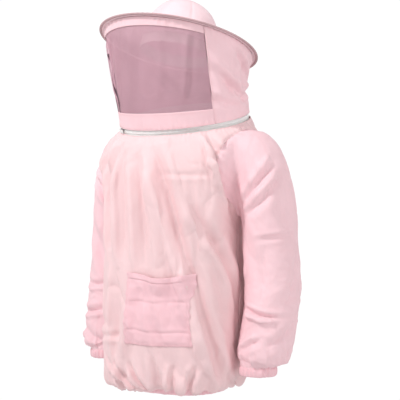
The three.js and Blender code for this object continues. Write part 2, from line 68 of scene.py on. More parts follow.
CUFF_TOP = -587.0
CUFF_CENTRE = (232.0, -22.0)
CUFF_RADIUS = 42.0

HAT_RADIUS = 199.0
HAT_TILT = math.radians(18.5)
HAT_CENTRE = np.array([0.0, -27.0, 187.0])
CROWN_RADIUS = 95.0
CROWN_HEIGHT = 114.0
VEIL_TOP_RADIUS = 187.0
VEIL_HALF = math.radians(53)


# ---------------------------------------------------------------- numbers and noise

def smooth(value, low, high):
    t = np.clip((np.asarray(value, float) - low) / (high - low), 0, 1)
    return t * t * (3 - 2 * t)


def unit(vectors):
    return vectors / np.linalg.norm(vectors, axis=-1)[..., None]


def spline(rows, along):
    """Catmull-Rom through rows of numbers, for an array of places from 0 to 1."""
    rows = np.asarray(rows, float)
    last = len(rows) - 1
    x = np.clip(np.asarray(along, float), 0, 1) * last
    i = np.minimum(x.astype(int), last - 1)
    t = (x - i)[..., None]
    a, b = rows[np.maximum(i - 1, 0)], rows[i]
    c, d = rows[i + 1], rows[np.minimum(i + 2, last)]
    return 0.5 * (2 * b + (c - a) * t + (2 * a - 5 * b + 4 * c - d) * t ** 2
                  + (3 * b - a - 3 * c + d) * t ** 3)


class Waves:
    """Smooth seeded noise: a sum of sine waves whose lengths spread about a size."""

    COUNT = 24

    def __init__(self, seed, size, stretch=(1, 1, 1)):
        draw = np.random.default_rng(seed)
        heading = unit(draw.normal(size=(self.COUNT, 3)))
        length = size * draw.uniform(0.7, 1.6, self.COUNT)
        self.k = heading * (TAU / length)[:, None] / np.array(stretch)
        self.phase = draw.uniform(0, TAU, self.COUNT)
        self.gain = math.sqrt(2 / self.COUNT)

    def __call__(self, points):
        return np.sin(points @ self.k.T + self.phase).sum(axis=1) * self.gain


# ---------------------------------------------------------------- mesh helpers

def new_object(name, points, faces, uv=None):
    """A mesh from points in millimetres."""
    mesh = bpy.data.meshes.new(name)
    mesh.from_pydata((np.asarray(points) * MM).tolist(), [], faces)
    mesh.update()
    mesh.polygons.foreach_set("use_smooth", [True] * len(mesh.polygons))
    if uv is not None:
        layer = mesh.uv_layers.new(name="cloth")
        corner = np.zeros(len(mesh.loops), int)
        mesh.loops.foreach_get("vertex_index", corner)
        layer.data.foreach_set("uv", (np.asarray(uv)[corner] * MM).ravel())
    piece = bpy.data.objects.new(name, mesh)
    bpy.context.scene.collection.objects.link(piece)
    return piece


def solid(name, points, faces, uv=None):
    """A closed mesh with its faces turned outwards."""
    piece = new_object(name, points, faces, uv)
    mesh = bmesh.new()
    mesh.from_mesh(piece.data)
    bmesh.ops.recalc_face_normals(mesh, faces=mesh.faces)
    if mesh.calc_volume(signed=True) < 0:
        bmesh.ops.reverse_faces(mesh, faces=mesh.faces)
    mesh.to_mesh(piece.data)
    mesh.free()
    return piece


def triples(items, field):
    values = np.zeros(len(items) * 3)
    items.foreach_get(field, values)
    return values.reshape(-1, 3)


def points_of(piece):
    return triples(piece.data.vertices, "co") / MM


def normals_of(piece):
    return triples(piece.data.vertices, "normal")


def faces_of(piece):
    return [tuple(face.vertices) for face in piece.data.polygons]


def set_points(piece, points):
    piece.data.vertices.foreach_set("co", (points * MM).ravel())
    piece.data.update()


def apply_modifiers(piece):
    bpy.context.view_layer.update()
    graph = bpy.context.evaluated_depsgraph_get()
    mesh = bpy.data.meshes.new_from_object(piece.evaluated_get(graph), preserve_all_data_layers=True,
                                           depsgraph=graph)
    old = piece.data
    piece.modifiers.clear()
    piece.data = mesh
    bpy.data.meshes.remove(old)
    return piece


def modify(piece, kind, **settings):
    modifier = piece.modifiers.new(kind.lower(), kind)
    for key, value in settings.items():
        setattr(modifier, key, value)
    return apply_modifiers(piece)


def grid_faces(columns, rows, closed=False, looped=False, reverse=False):
    """Quads of a grid whose points run along each row in turn.

    The last column meets the first when closed, and the last row meets the first when looped.
    """
    wide = columns if closed else columns + 1
    tall = rows if looped else rows + 1
    faces = []
    for row in range(rows):
        low, high = row * wide, (row + 1) % tall * wide
        for column in range(columns):
            beside = (column + 1) % wide
            a, b, c, d = low + column, low + beside, high + beside, high + column
            faces.append((a, d, c, b) if reverse else (a, b, c, d))
    return faces


def grid_values(columns, rows, closed=False):
    wide = columns if closed else columns + 1
    across, up = np.meshgrid(np.arange(wide) / columns, np.arange(rows + 1) / rows)
    return across.ravel(), up.ravel()


def joined(parts):
    """Points and faces of several small solids put together."""
    points, faces, start = [], [], 0
    for part_points, part_faces in parts:
        points.append(np.asarray(part_points))
        faces += [tuple(i + start for i in face) for face in part_faces]
        start += len(part_points)
    return np.concatenate(points), faces


# ---------------------------------------------------------------- reference frames

def on_neck(angle, radius, height):
    """Points by the angle from the throat, the radius and the height on the neck axis."""
    angle, radius, height = np.broadcast_arrays(angle, radius, height)
    forward = radius * np.cos(angle)
    return np.stack([
        radius * np.sin(angle),
        -forward * math.cos(NECK_TILT) - height * math.sin(NECK_TILT),
        -forward * math.sin(NECK_TILT) + height * math.cos(NECK_TILT),
    ], axis=-1).astype(float)


def on_hat(angle, radius, height):
    """The same about the hat's axis, from the middle of the brim."""
    angle, radius, height = np.broadcast_arrays(angle, radius, height)
    forward = radius * np.cos(angle)
    return HAT_CENTRE + np.stack([
        radius * np.sin(angle),
        -forward * math.cos(HAT_TILT) + height * math.sin(HAT_TILT),
        forward * math.sin(HAT_TILT) + height * math.cos(HAT_TILT),
    ], axis=-1)


# ---------------------------------------------------------------- the jacket's outer form

VOXEL = 6.5

# half width, front y, back y, z at the front, at the sides and at the back, corner power
BODY_ROWS = [
    (160, -150, 160, 0, 30, 60, 2.0),
    (162, -157, 161, -38, -7, 23, 2.0),
    (177, -175, 164, -56, -21, 5, 2.05),
    (190, -183, 152, -84, -44, -24, 2.15),
    (192, -188, 137, -116, -86, -68, 2.25),
    (178, -190, 126, -154, -136, -128, 2.35),
    (164, -190, 122, -200, -196, -192, 2.45),
    (157, -191, 122, -262, -262, -262, 2.6),
    (160, -194, 122, -345, -345, -345, 2.6),
    (161, -196, 122, -430, -430, -430, 2.6),
    (160, -198, 123, -515, -515, -515, 2.6),
    (159, -197, 122, -580, -580, -580, 2.5),
    (164, -186, 108, -619, -619, -619, 2.4),
    (148, -162, 84, -644, -644, -644, 2.35),
    (134, -147, 70, -652, -652, -652, 2.3),
    (128, -140, 63, -676, -676, -676, 2.3),
]

# centre x, y, z, half width and half depth down the left sleeve
SLEEVE_ROWS = [
    (176, 14, -40, 30, 60),
    (196, 18, -78, 56, 74),
    (212, 22, -140, 66, 77),
    (228, 27, -215, 62, 76),
    (237, 31, -300, 60, 75),
    (240, 31, -380, 61, 77),
    (241, 22, -450, 62, 76),
    (240, 4, -520, 62, 71),
    (236, -14, -563, 61, 64),
    (233, -20, -582, 53, 53),
    (232, -22, -590, 43, 43),
    (232, -22, -620, 43, 43),
]


def body_point(angle, along):
    row = spline(BODY_ROWS, along)
    half, front, back, z_front, z_side, z_back, power = (row[..., k] for k in range(7))
    s, c = np.sin(angle), np.cos(angle)
    bent_s = np.sign(s) * np.abs(s) ** (2 / power)
    bent_c = np.sign(c) * np.abs(c) ** (2 / power)
    mean = (z_front + z_back) / 4 + z_side / 2
    saddle = (z_front + z_back) / 4 - z_side / 2
    return np.stack([
        half * bent_s,
        (front + back) / 2 - (back - front) / 2 * bent_c,
        mean + (z_front - z_back) / 2 * c + saddle * np.cos(2 * angle),
    ], axis=-1)


def sleeve_point(angle, along, side):
    """A sleeve ring stands square to the line down its middle."""
    row = spline(SLEEVE_ROWS, along)
    ahead, behind = spline(SLEEVE_ROWS, along + 0.01), spline(SLEEVE_ROWS, along - 0.01)
    down = unit(ahead[..., :3] - behind[..., :3])
    out = unit(np.stack([-down[..., 2], np.zeros(len(down)), down[..., 0]], axis=-1))
    back = np.cross(down, out)
    back *= np.sign(back[..., 1:2])
    points = (row[..., :3] + out * (row[..., 3] * np.cos(angle))[..., None]
              + back * (row[..., 4] * np.sin(angle))[..., None])
    return points * np.array([side, 1, 1])


def loft(name, point_at, columns, rows, flip=False):
    """A closed solid through rings of points, with a fan on each end."""
    across, up = grid_values(columns, rows, closed=True)
    points = point_at(across * TAU, up)
    faces = grid_faces(columns, rows, closed=True)
    ends = np.array([points[:columns].mean(axis=0), points[-columns:].mean(axis=0)])
    points = np.concatenate([points, ends])
    first, last = len(points) - 2, len(points) - 1
    start = rows * columns
    for column in range(columns):
        beside = (column + 1) % columns
        faces.append((beside, column, first))
        faces.append((start + column, start + beside, last))
    if not flip:
        faces = [face[::-1] for face in faces]
    return new_object(name, points, faces)


def garment_form():
    """One closed form of the body and both sleeves, with even small faces."""
    body = loft("garment", body_point, 96, 90)
    for side in (1, -1):
        sleeve = loft("arm", lambda a, v: sleeve_point(a, v, side), 48, 70, flip=side < 0)
        mesh = bmesh.new()
        mesh.from_mesh(body.data)
        mesh.from_mesh(sleeve.data)
        mesh.to_mesh(body.data)
        mesh.free()
        bpy.data.objects.remove(sleeve)
    modify(body, "REMESH", mode="VOXEL", voxel_size=VOXEL * MM, use_smooth_shade=True)
    modify(body, "SMOOTH", iterations=10, factor=0.5)
    return body


# ---------------------------------------------------------------- folds

# Creases drawn on the form: points, width, depth and how much the cloth stands up beside them.
BODY_FOLDS = [
    ([(-14, -180, -70), (12, -190, -190), (26, -192, -340)], 16, 9, 0.8),
    ([(-52, -176, -60), (-44, -188, -180), (-40, -192, -330)], 17, 7, 0.6),
    ([(-66, -186, -340), (-60, -192, -450), (-74, -190, -560)], 18, 8, 0.6),
    ([(20, -192, -380), (4, -197, -470), (-10, -196, -560)], 16, 6, 0.6),
    ([(22, -174, -56), (58, -183, -117), (88, -173, -208), (112, -158, -303), (130, -143, -361)], 13, 13, 0.9),
    ([(122, -148, -330), (148, -128, -456), (165, -80, -602)], 13, 12, 0.9),
    ([(118, -153, -190), (139, -116, -258), (153, -73, -322), (163, -19, -433)], 11, 9, 0.8),
    ([(146, -104, -30), (168, -100, -90), (170, -88, -140), (160, -40, -205)], 9, 12, 0.9),
    ([(-70, -160, -50), (-88, -172, -100), (-102, -172, -160)], 12, 9, 0.6),
    ([(-120, -130, -50), (-104, -168, -153), (-98, -168, -250), (-96, -170, -311)], 12, 11, 0.7),
    ([(60, -180, -122), (106, -168, -125), (160, -110, -125)], 6, 2.2, 0.5),
    ([(-138, -146, -512), (-85, -180, -505), (-40, -194, -500)], 7, 4, 0.6),
    ([(-150, -100, -470), (-120, -160, -480), (-70, -185, -486)], 12, 4, 0.4),
    ([(-60, -190, -330), (-40, -192, -420), (-60, -192, -520)], 16, 5, 0.4),
    ([(52, -190, -540), (60, -190, -590), (62, -186, -640)], 9, 6, 0.6),
    ([(-78, -188, -562), (-34, -194, -606), (10, -181, -640)], 7, 7, 0.7),
    ([(-110, -168, -560), (-70, -186, -600), (-28, -176, -640)], 7, 6, 0.7),
    ([(-24, -196, -560), (6, -195, -600), (36, -176, -641)], 7, 6, 0.7),
    ([(100, -170, -556), (92, -176, -600), (80, -160, -641)], 7, 7, 0.7),
    ([(134, -140, -560), (122, -150, -600), (104, -142, -640)], 7, 7, 0.7),
    ([(60, 110, -120), (50, 112, -230), (64, 112, -380), (40, 116, -560)], 18, 7, 0.5),
    ([(-90, 100, -110), (-74, 108, -250), (-50, 112, -420), (-70, 112, -600)], 18, 7, 0.5),
    ([(0, 160, -10), (6, 130, -110), (-10, 112, -240)], 14, 5, 0.5),
    ([(120, 95, -210), (70, 110, -330), (20, 114, -430)], 14, 6, 0.5),
    ([(-130, 80, -230), (-90, 105, -340), (-10, 112, -480)], 14, 5, 0.5),
]

SLEEVE_FOLDS = {
    1: [
        ([(262, -4, -92), (246, -44, -141), (206, -50, -190)], 9, 6, 0.7),
        ([(274, 1, -128), (254, -41, -176), (212, -47, -220)], 9, 6, 0.7),
        ([(296, 20, -262), (275, -25, -266), (250, -44, -272)], 6, 3, 0.6),
        ([(206, -44, -437), (228, -52, -443), (262, -46, -452), (286, -20, -456)], 5, 8, 0.9),
        ([(262, -62, -508), (240, -66, -520), (214, -64, -540)], 7, 6, 0.7),
        ([(290, 50, -300), (298, 20, -400), (292, -10, -430)], 16, 6, 0.5),
        ([(262, -40, -285), (256, -50, -350), (262, -52, -425)], 16, 5, 0.4),
        ([(300, 30, -470), (290, -10, -500), (268, -54, -530)], 10, 5, 0.5),
        ([(250, 104, -180), (226, 102, -260), (240, 106, -340)], 14, 6, 0.5),
        ([(280, 88, -360), (240, 106, -420), (204, 70, -440)], 9, 7, 0.7),
        ([(270, 70, -500), (240, 72, -530), (212, 50, -548)], 9, 6, 0.6),
    ],
    -1: [
        ([(-251, -40, -137), (-218, -52, -175), (-194, -38, -222)], 8, 6, 0.7),
        ([(-236, -46, -96), (-205, -52, -140), (-186, -40, -180)], 10, 6, 0.6),
        ([(-280, -34, -404), (-250, -46, -408), (-210, -42, -402)], 7, 6, 0.5),
        ([(-284, -34, -484), (-258, -56, -480), (-216, -52, -472)], 7, 7, 0.6),
        ([(-274, -30, -250), (-240, -48, -310), (-220, -46, -380)], 14, 5, 0.5),
        ([(-286, -30, -520), (-250, -62, -540), (-214, -60, -552)], 8, 6, 0.6),
        ([(-280, 20, -300), (-296, 0, -420), (-290, -20, -500)], 15, 5, 0.4),
        ([(-250, 104, -190), (-228, 102, -270), (-240, 106, -350)], 14, 6, 0.5),
        ([(-276, 90, -370), (-240, 106, -425), (-206, 72, -446)], 9, 7, 0.7),
    ],
}


def crease(points, normals, fold):
    """How far each point moves along its normal for one drawn fold."""
    line, width, depth, ridge = fold
    along = np.linspace(0, 1, 60)
    path = spline(line, along)
    low, high = path.min(axis=0) - 4 * width, path.max(axis=0) + 4 * width
    near = np.flatnonzero(np.all((points > low) & (points < high), axis=1))
    move = np.zeros(len(points))
    if not len(near):
        return move
    gap = points[near, None] - path[None]
    nearest = np.argmin((gap ** 2).sum(axis=2), axis=1)
    offset = points[near] - path[nearest]
    heading = unit(np.gradient(path, axis=0)[nearest])
    facing = normals[near]
    aside = (offset * np.cross(heading, facing)).sum(axis=1) / width
    past = (offset * heading).sum(axis=1) / width
    fade = np.sin(math.pi * np.clip(along[nearest], 0.02, 0.98)) ** 0.6 * np.exp(-past ** 2 / 2)
    same_side = 1 - smooth(np.abs((offset * facing).sum(axis=1)), 30, 55)
    valley = -np.exp(-np.abs(aside) ** 1.15)
    stand = ridge * (np.exp(-(aside - 1.7) ** 2 / 0.8) + 0.5 * np.exp(-(aside + 2.0) ** 2 / 1.4))
    move[near] = depth * (valley + stand) * fade * same_side
    return move


def folded(points, normals, arm):
    """All the drawn folds: the sleeves' own on the arms and the body's elsewhere."""
    arms, body = (sum(crease(points, normals, fold) for fold in folds)
                  for folds in (SLEEVE_FOLDS[1] + SLEEVE_FOLDS[-1], BODY_FOLDS))
    return np.where(arm, arms, body)


# ---------------------------------------------------------------- cutting and simulating the jacket

SIDE_FULLNESS = 10.0        # the sides stand out this much more once the sleeves are parted from them
COLLIDER_INSET = 5.0        # the form that the cloth falls on is this much smaller than the cloth
GROWTH, FRAMES, GRAVITY = 0.03, 16, 0.4
HEM_CUT, CUFF_CUT, ARMPIT = -649.0, -590.0, -250.0
ARMHOLE_SLOPE = 0.075
ALONG_NECK_AXIS = np.array([0, -math.sin(NECK_TILT), math.cos(NECK_TILT)])


def armhole_x(z):
    """Half the width between the armhole seams."""
    return 172.0 + ARMHOLE_SLOPE * (z + 100)


def parting(z):
    """Half the width between the sleeves: the armhole seams, and below them the gap beside the body."""
    z = np.asarray(z, float)
    return np.where(z > ARMPIT, armhole_x(z), np.interp(-z, [250, 345, 430, 600], [166, 171, 172.5, 170]))


def on_arm(points):
    return np.abs(points[:, 0]) > parting(points[:, 2])


def bisect(mesh, point, normal, faces=None, clear=False):
    """Cuts all of the mesh, or only some faces, along a plane."""
    if faces is None:
        geometry = list(mesh.verts) + list(mesh.edges) + list(mesh.faces)
    else:       # dictionaries keep the order, so that every run cuts alike
        geometry = (list(dict.fromkeys(v for f in faces for v in f.verts))
                    + list(dict.fromkeys(e for f in faces for e in f.edges)) + faces)
    bmesh.ops.bisect_plane(mesh, geom=geometry, plane_co=Vector(point) * MM, plane_no=Vector(normal),
                           clear_outer=clear, dist=1e-6)


def cut_garment(piece):
    """Opens the neck, hem and cuffs, and lays edges along the seams."""
    mesh = bmesh.new()
    mesh.from_mesh(piece.data)

    def chosen(test):
        return [face for face in mesh.faces if test(face.calc_center_median() / MM)]

    bisect(mesh, ALONG_NECK_AXIS * -ZIP_EDGE, ALONG_NECK_AXIS, clear=True)
    bisect(mesh, (0, 0, HEM_CUT), (0, 0, -1), clear=True)
    bisect(mesh, (0, 0, CUFF_CUT), (0, 0, -1), chosen(lambda at: abs(at.x) > 180 and at.z < -570), clear=True)
    for side in (1, -1):
        bisect(mesh, (side * armhole_x(-100), 0, -100), (side, 0, -ARMHOLE_SLOPE),
               chosen(lambda at: at.z > ARMPIT and side * at.x > 120))
    bisect(mesh, (0, SIDE_SEAM, 0), (0, 1, 0), chosen(lambda at: abs(at.x) < 176))
    mesh.to_mesh(piece.data)
    mesh.free()


def regions_of(piece):
    """0 front, 1 back, 2 left sleeve, 3 right sleeve, for each face before simulation."""
    centres = triples(piece.data.polygons, "center") / MM
    x, y, _ = centres.T
    return np.where(on_arm(centres), np.where(x > 0, 2, 3), np.where(y < SIDE_SEAM, 0, 1))


def simulate(piece, collider, pinned):
    """Cloth with pinned edges that is cut a little too large, so that it settles into creases."""
    group = piece.vertex_groups.new(name="pin")
    for index in np.flatnonzero(pinned > 0):
        group.add([int(index)], float(pinned[index]), "REPLACE")
    collider.modifiers.new("collision", "COLLISION")
    collider.collision.thickness_outer = 0.003
    collider.collision.cloth_friction = 4
    cloth = piece.modifiers.new("cloth", "CLOTH")
    rules = cloth.settings
    for key, value in (("quality", 4), ("mass", 0.15), ("tension_stiffness", 12), ("compression_stiffness", 12),
                       ("shear_stiffness", 4), ("bending_stiffness", 0.35), ("tension_damping", 8),
                       ("compression_damping", 8), ("air_damping", 2), ("shrink_min", -GROWTH),
                       ("vertex_group_mass", "pin")):
        setattr(rules, key, value)
    rules.effector_weights.gravity = GRAVITY
    cloth.collision_settings.use_collision = True
    cloth.collision_settings.distance_min = 0.002
    cloth.collision_settings.collision_quality = 2
    cloth.point_cache.frame_start = 1
    cloth.point_cache.frame_end = FRAMES
    scene = bpy.context.scene
    for step in range(1, FRAMES + 1):
        scene.frame_set(step)
    apply_modifiers(piece)
    piece.vertex_groups.clear()
    scene.frame_set(1)


def creased(points, seed, size, depth, stretch):
    """A loose net of thin valleys, as cloth keeps after packing and wear."""
    field = Waves(seed, size, stretch=stretch)(points)
    swell = smooth(Waves(seed + 40, size * 1.6)(points), -0.6, 1.2)
    return depth * swell * (0.35 - np.exp(-np.abs(field) / 0.22))


def below_zip(points):
    """How far points lie below the edge of the cloth at the neck zip."""
    return -ZIP_EDGE - points @ ALONG_NECK_AXIS


def garment():
    """The whole jacket as one cloth: form, drawn folds, then simulated slack.

    Returns it with its points on the form, where the seams are known, and the region of each face.
    """
    piece = garment_form()
    cut_garment(piece)
    rest = points_of(piece)
    regions = regions_of(piece)
    arm = on_arm(rest)
    aside, below = np.abs(rest[:, 0]), -rest[:, 2]
    spread = SIDE_FULLNESS * smooth(aside, 100, 150) * smooth(below, 300, 370) * (1 - smooth(below, 580, 640))
    placed = rest.copy()
    placed[:, 0] += np.sign(rest[:, 0]) * np.where(arm, 0, spread)
    set_points(piece, placed)
    form = piece.copy()
    form.data = piece.data.copy()
    bpy.context.scene.collection.objects.link(form)
    normals = normals_of(piece)
    set_points(form, placed - normals * COLLIDER_INSET)
    rough = Waves(3, 90, stretch=(1, 1, 1.8))(rest) * 2.0 + Waves(4, 38, stretch=(1, 1, 1.5))(rest) * 0.9
    pinned = np.maximum.reduce([
        1 - smooth(below_zip(rest), 3, 14),
        np.where(arm, 1 - smooth(rest[:, 2] - CUFF_CUT, 2, 16), 1 - smooth(rest[:, 2] - HEM_CUT, 2, 14)),
    ])
    set_points(piece, placed + normals * ((folded(rest, normals, arm) + rough) * (1 - pinned))[:, None])
    simulate(piece, form, pinned)
    bpy.data.objects.remove(form)
    return piece, rest, regions


def gathers(angle, count, seed):
    """Irregular ripples round a gathered edge, from -1 to 1."""
    draw = np.random.default_rng(seed)
    drift = sum(draw.uniform(0.5, 1.3) * np.sin(k * angle + draw.uniform(0, TAU)) for k in (2, 3, 5, 8))
    swell = 0.72 + 0.28 * np.sin(3 * angle + draw.uniform(0, TAU)) * np.sin(7 * angle + draw.uniform(0, TAU))
    return np.sin(count * angle + drift) * swell


def trunk_angle(points):
    """Angle round the body, from the middle of the front towards the wearer's left."""
    return np.arctan2(points[:, 0], -(points[:, 1] - BODY_AHEAD))


def cuff_angle(points):
    return np.arctan2(np.abs(points[:, 0]) - CUFF_CENTRE[0], -(points[:, 1] - CUFF_CENTRE[1]))


def tailoring(rest, normals, arm):
    """Seams, gathers and the drawn folds again, on the settled cloth. Lengths along the normal."""
    folds = folded(rest, normals, arm) * 1.35
    wrinkles = creased(rest, 7, 150, 5.0, (1, 1, 1.7)) + creased(rest, 8, 70, 1.6, (1, 1, 1.3))
    turn = trunk_angle(rest)
    above_hem = np.clip(rest[:, 2] - HEM_CUT, 0, None)
    lean = 0.0016 * above_hem
    hem = (gathers(turn, 52, 11) * 2.0 * np.exp(-above_hem / 24)
           + gathers(turn + lean, 27, 12) * 5.5 * np.exp(-above_hem / 55) * smooth(above_hem, 0, 30)
           + gathers(turn - lean, 11, 17) * 6.0 * np.exp(-((above_hem - 55) / 42) ** 2))
    wrist = cuff_angle(rest)
    above_cuff = np.clip(rest[:, 2] - CUFF_CUT, 0, None)
    seed = np.where(rest[:, 0] > 0, 0.0, 1.7)
    cuff = (gathers(wrist + seed, 22, 13) * 2.2 * np.exp(-above_cuff / 14)
            + gathers(wrist + seed, 9, 14) * 6 * np.exp(-above_cuff / 50) * smooth(above_cuff, 0, 26))
    below_neck = np.clip(below_zip(rest), 0, None)
    round_neck = np.arctan2(rest[:, 0], -rest[:, 1])
    bunched = 1 + 2.2 * np.exp(-((round_neck + 0.62) / 0.3) ** 2)
    fullness = gathers(round_neck, 33, 16) * 1.3 * np.exp(-below_neck / 34) * smooth(below_neck, 0, 12)
    neck = bunched * (gathers(round_neck, 84, 15) * np.exp(-below_neck / 12) + fullness)
    beside = np.abs(rest[:, 0]) - armhole_x(rest[:, 2])
    on_yoke = smooth(rest[:, 2], ARMPIT - 8, ARMPIT + 12)
    pucker = np.sin(rest[:, 2] / 3.2 + rest[:, 1] / 5.1)
    armhole = on_yoke * (-3.2 * np.exp(-(beside / 3.5) ** 2) + pucker * 0.8 * np.exp(-(beside / 9) ** 2))
    from_side = rest[:, 1] - SIDE_SEAM
    side = (-1.4 * np.exp(-(from_side / 2.6) ** 2)
            + np.sin(rest[:, 2] / 4.4) * 0.7 * np.exp(-(from_side / 9) ** 2))
    free = np.minimum(smooth(np.where(arm, above_cuff, above_hem), 4, 40), smooth(below_neck, 4, 45))
    return folds + wrinkles * free + np.where(arm, cuff, hem + neck + side * (1 - on_yoke)) + armhole


def drawn_in(points, height, centre, halves, power):
    """Brings the last of the cloth in to an oval, so that it ends inside the elastic's casing."""
    offset = points[:, :2] - centre
    scale = ((np.abs(offset) / halves) ** power).sum(axis=1) ** (-1 / power)
    share = 1 - smooth(height, 0, 14)
    return np.column_stack([points[:, :2] + offset * ((scale - 1) * share)[:, None], points[:, 2]])


def refined(piece, rest, regions):
    """Finer faces, then the tailoring. Returns the points on the form and the region of each face."""
    mesh = piece.data
    mesh.attributes.new("rest", "FLOAT_VECTOR", "POINT").data.foreach_set("vector", rest.ravel())
    mesh.attributes.new("region", "INT", "FACE").data.foreach_set("value", regions.astype(np.int32))
    modify(piece, "SMOOTH", iterations=3, factor=0.5)
    modify(piece, "SUBSURF", levels=1, render_levels=1)
    mesh = piece.data
    fine = triples(mesh.attributes["rest"].data, "vector")
    parts = np.zeros(len(mesh.polygons), np.int32)
    mesh.attributes["region"].data.foreach_get("value", parts)
    arm = on_arm(fine)
    move = tailoring(fine, normals_of(piece), arm)
    points = points_of(piece) + normals_of(piece) * move[:, None]
    wrist = np.where(fine[:, :1] > 0, 1, -1) * (CUFF_CENTRE[0], 0) + (0, CUFF_CENTRE[1])
    cuff = drawn_in(points, fine[:, 2] - CUFF_CUT, wrist, np.full(2, CUFF_RADIUS + 0.5), 2)
    hem = drawn_in(points, fine[:, 2] - HEM_CUT, (0, BODY_AHEAD), HEM_HALVES + 0.5, HEM_POWER)
    set_points(piece, np.where(arm[:, None], cuff, hem))
    return fine, parts


def panel(name, points, uv, faces):
    """One cut piece of the cloth, given its own points."""
    used = np.unique(np.concatenate([np.array(face) for face in faces]))
    number = np.zeros(len(points), int)
    number[used] = np.arange(len(used))
    return new_object(name, points[used], [tuple(number[list(face)]) for face in faces], uv[used])


def thicken(piece, thickness):
    """Gives a sheet its thickness, inwards."""
    return modify(piece, "SOLIDIFY", thickness=thickness * MM, offset=-1, use_rim=True)


def tree_of(*pieces):
    points, faces = joined([(points_of(piece), faces_of(piece)) for piece in pieces])
    return BVHTree.FromPolygons((points * MM).tolist(), faces)


# ---------------------------------------------------------------- turned and gridded pieces

def swept(name, place, outline, columns, span=None, ripple=None):
    """An outline of (radius, height) pairs carried round an axis: a whole ring, or a span with closed ends."""
    rows = len(outline)
    turns = np.arange(columns) / columns * TAU if span is None else np.linspace(*span, columns + 1)
    turn = np.repeat(turns, rows)
    radius, height = np.tile(np.asarray(outline, float), (len(turns), 1)).T
    if ripple is not None:
        radius, height = ripple(turn, radius, height)
    last = columns * rows
    ends = [] if span is None else [tuple(range(rows)), tuple(range(last, last + rows))[::-1]]
    faces = ends + grid_faces(rows, columns, closed=True, looped=span is None, reverse=True)
    lengths = np.cumsum([0] + [math.dist(outline[i], outline[i + 1]) for i in range(rows - 1)])
    uv = np.stack([turn * np.mean([r for r, _ in outline]), np.tile(lengths, len(turns))], axis=1)
    return solid(name, place(turn, radius, height), faces, uv)


def rounded(half_wide, half_high, radius, wide_at=0.0, high_at=0.0):
    """Outline of a rectangle with rounded corners."""
    steps = 3
    outline = []
    for corner, (sx, sy) in enumerate(((1, 1), (-1, 1), (-1, -1), (1, -1))):
        for step in range(steps + 1):
            a = corner * TAU / 4 + step / steps * TAU / 4
            outline.append((wide_at + sx * (half_wide - radius) + radius * math.cos(a),
                            high_at + sy * (half_high - radius) + radius * math.sin(a)))
    return outline


def draped(name, point_at, columns, rows, wide, tall, closed=False):
    """A sheet from a function of two shares, sized wide by tall in millimetres for its weave."""
    across, up = grid_values(columns, rows, closed)
    points = point_at(across, up)
    uv = np.stack([across * wide, up * tall], axis=1)
    return new_object(name, points, grid_faces(columns, rows, closed), uv)


STITCH_PITCH, STITCH_LENGTH, THREAD_RADIUS = 3.3, 2.4, 0.36


def stitches(name, runs):
    """Thread showing as short rounded dashes along lines of points on the cloth."""
    dashes = []
    sides = 6
    faces = [tuple(range(sides))[::-1], tuple(range(3 * sides, 4 * sides))] + grid_faces(sides, 3, closed=True)
    for line in runs:
        line = np.asarray(line, float)
        measure = np.concatenate([[0], np.cumsum(np.linalg.norm(np.diff(line, axis=0), axis=1))])
        for at in np.arange(0, measure[-1] - STITCH_LENGTH, STITCH_PITCH):
            a, b = (np.array([np.interp(m, measure, line[:, k]) for k in range(3)])
                    for m in (at, at + STITCH_LENGTH))
            along = (b - a) / max(np.linalg.norm(b - a), 1e-6)
            side = unit(np.cross(along, (0.3, 0.2, 0.93)))
            up = np.cross(along, side)
            rings = []
            for share, size in ((0, 0.35), (0.2, 1), (0.8, 1), (1, 0.35)):
                for turn in (TAU * k / sides for k in range(sides)):
                    out = math.cos(turn) * side + math.sin(turn) * up
                    rings.append(a + (b - a) * share + THREAD_RADIUS * size * out)
            dashes.append((rings, faces))
    return solid(name, *joined(dashes))


def snapped(line, tree, centre):
    """A line of points moved onto the cloth and just outside it."""
    lift = 0.25
    moved = []
    for point in np.asarray(line):
        spot, normal, _, _ = tree.find_nearest(Vector(point) * MM)
        normal = normal if normal.dot(spot - Vector(centre) * MM) > 0 else -normal
        moved.append(np.array(spot + normal * lift * MM) / MM)
    return np.array(moved)


# ---------------------------------------------------------------- materials

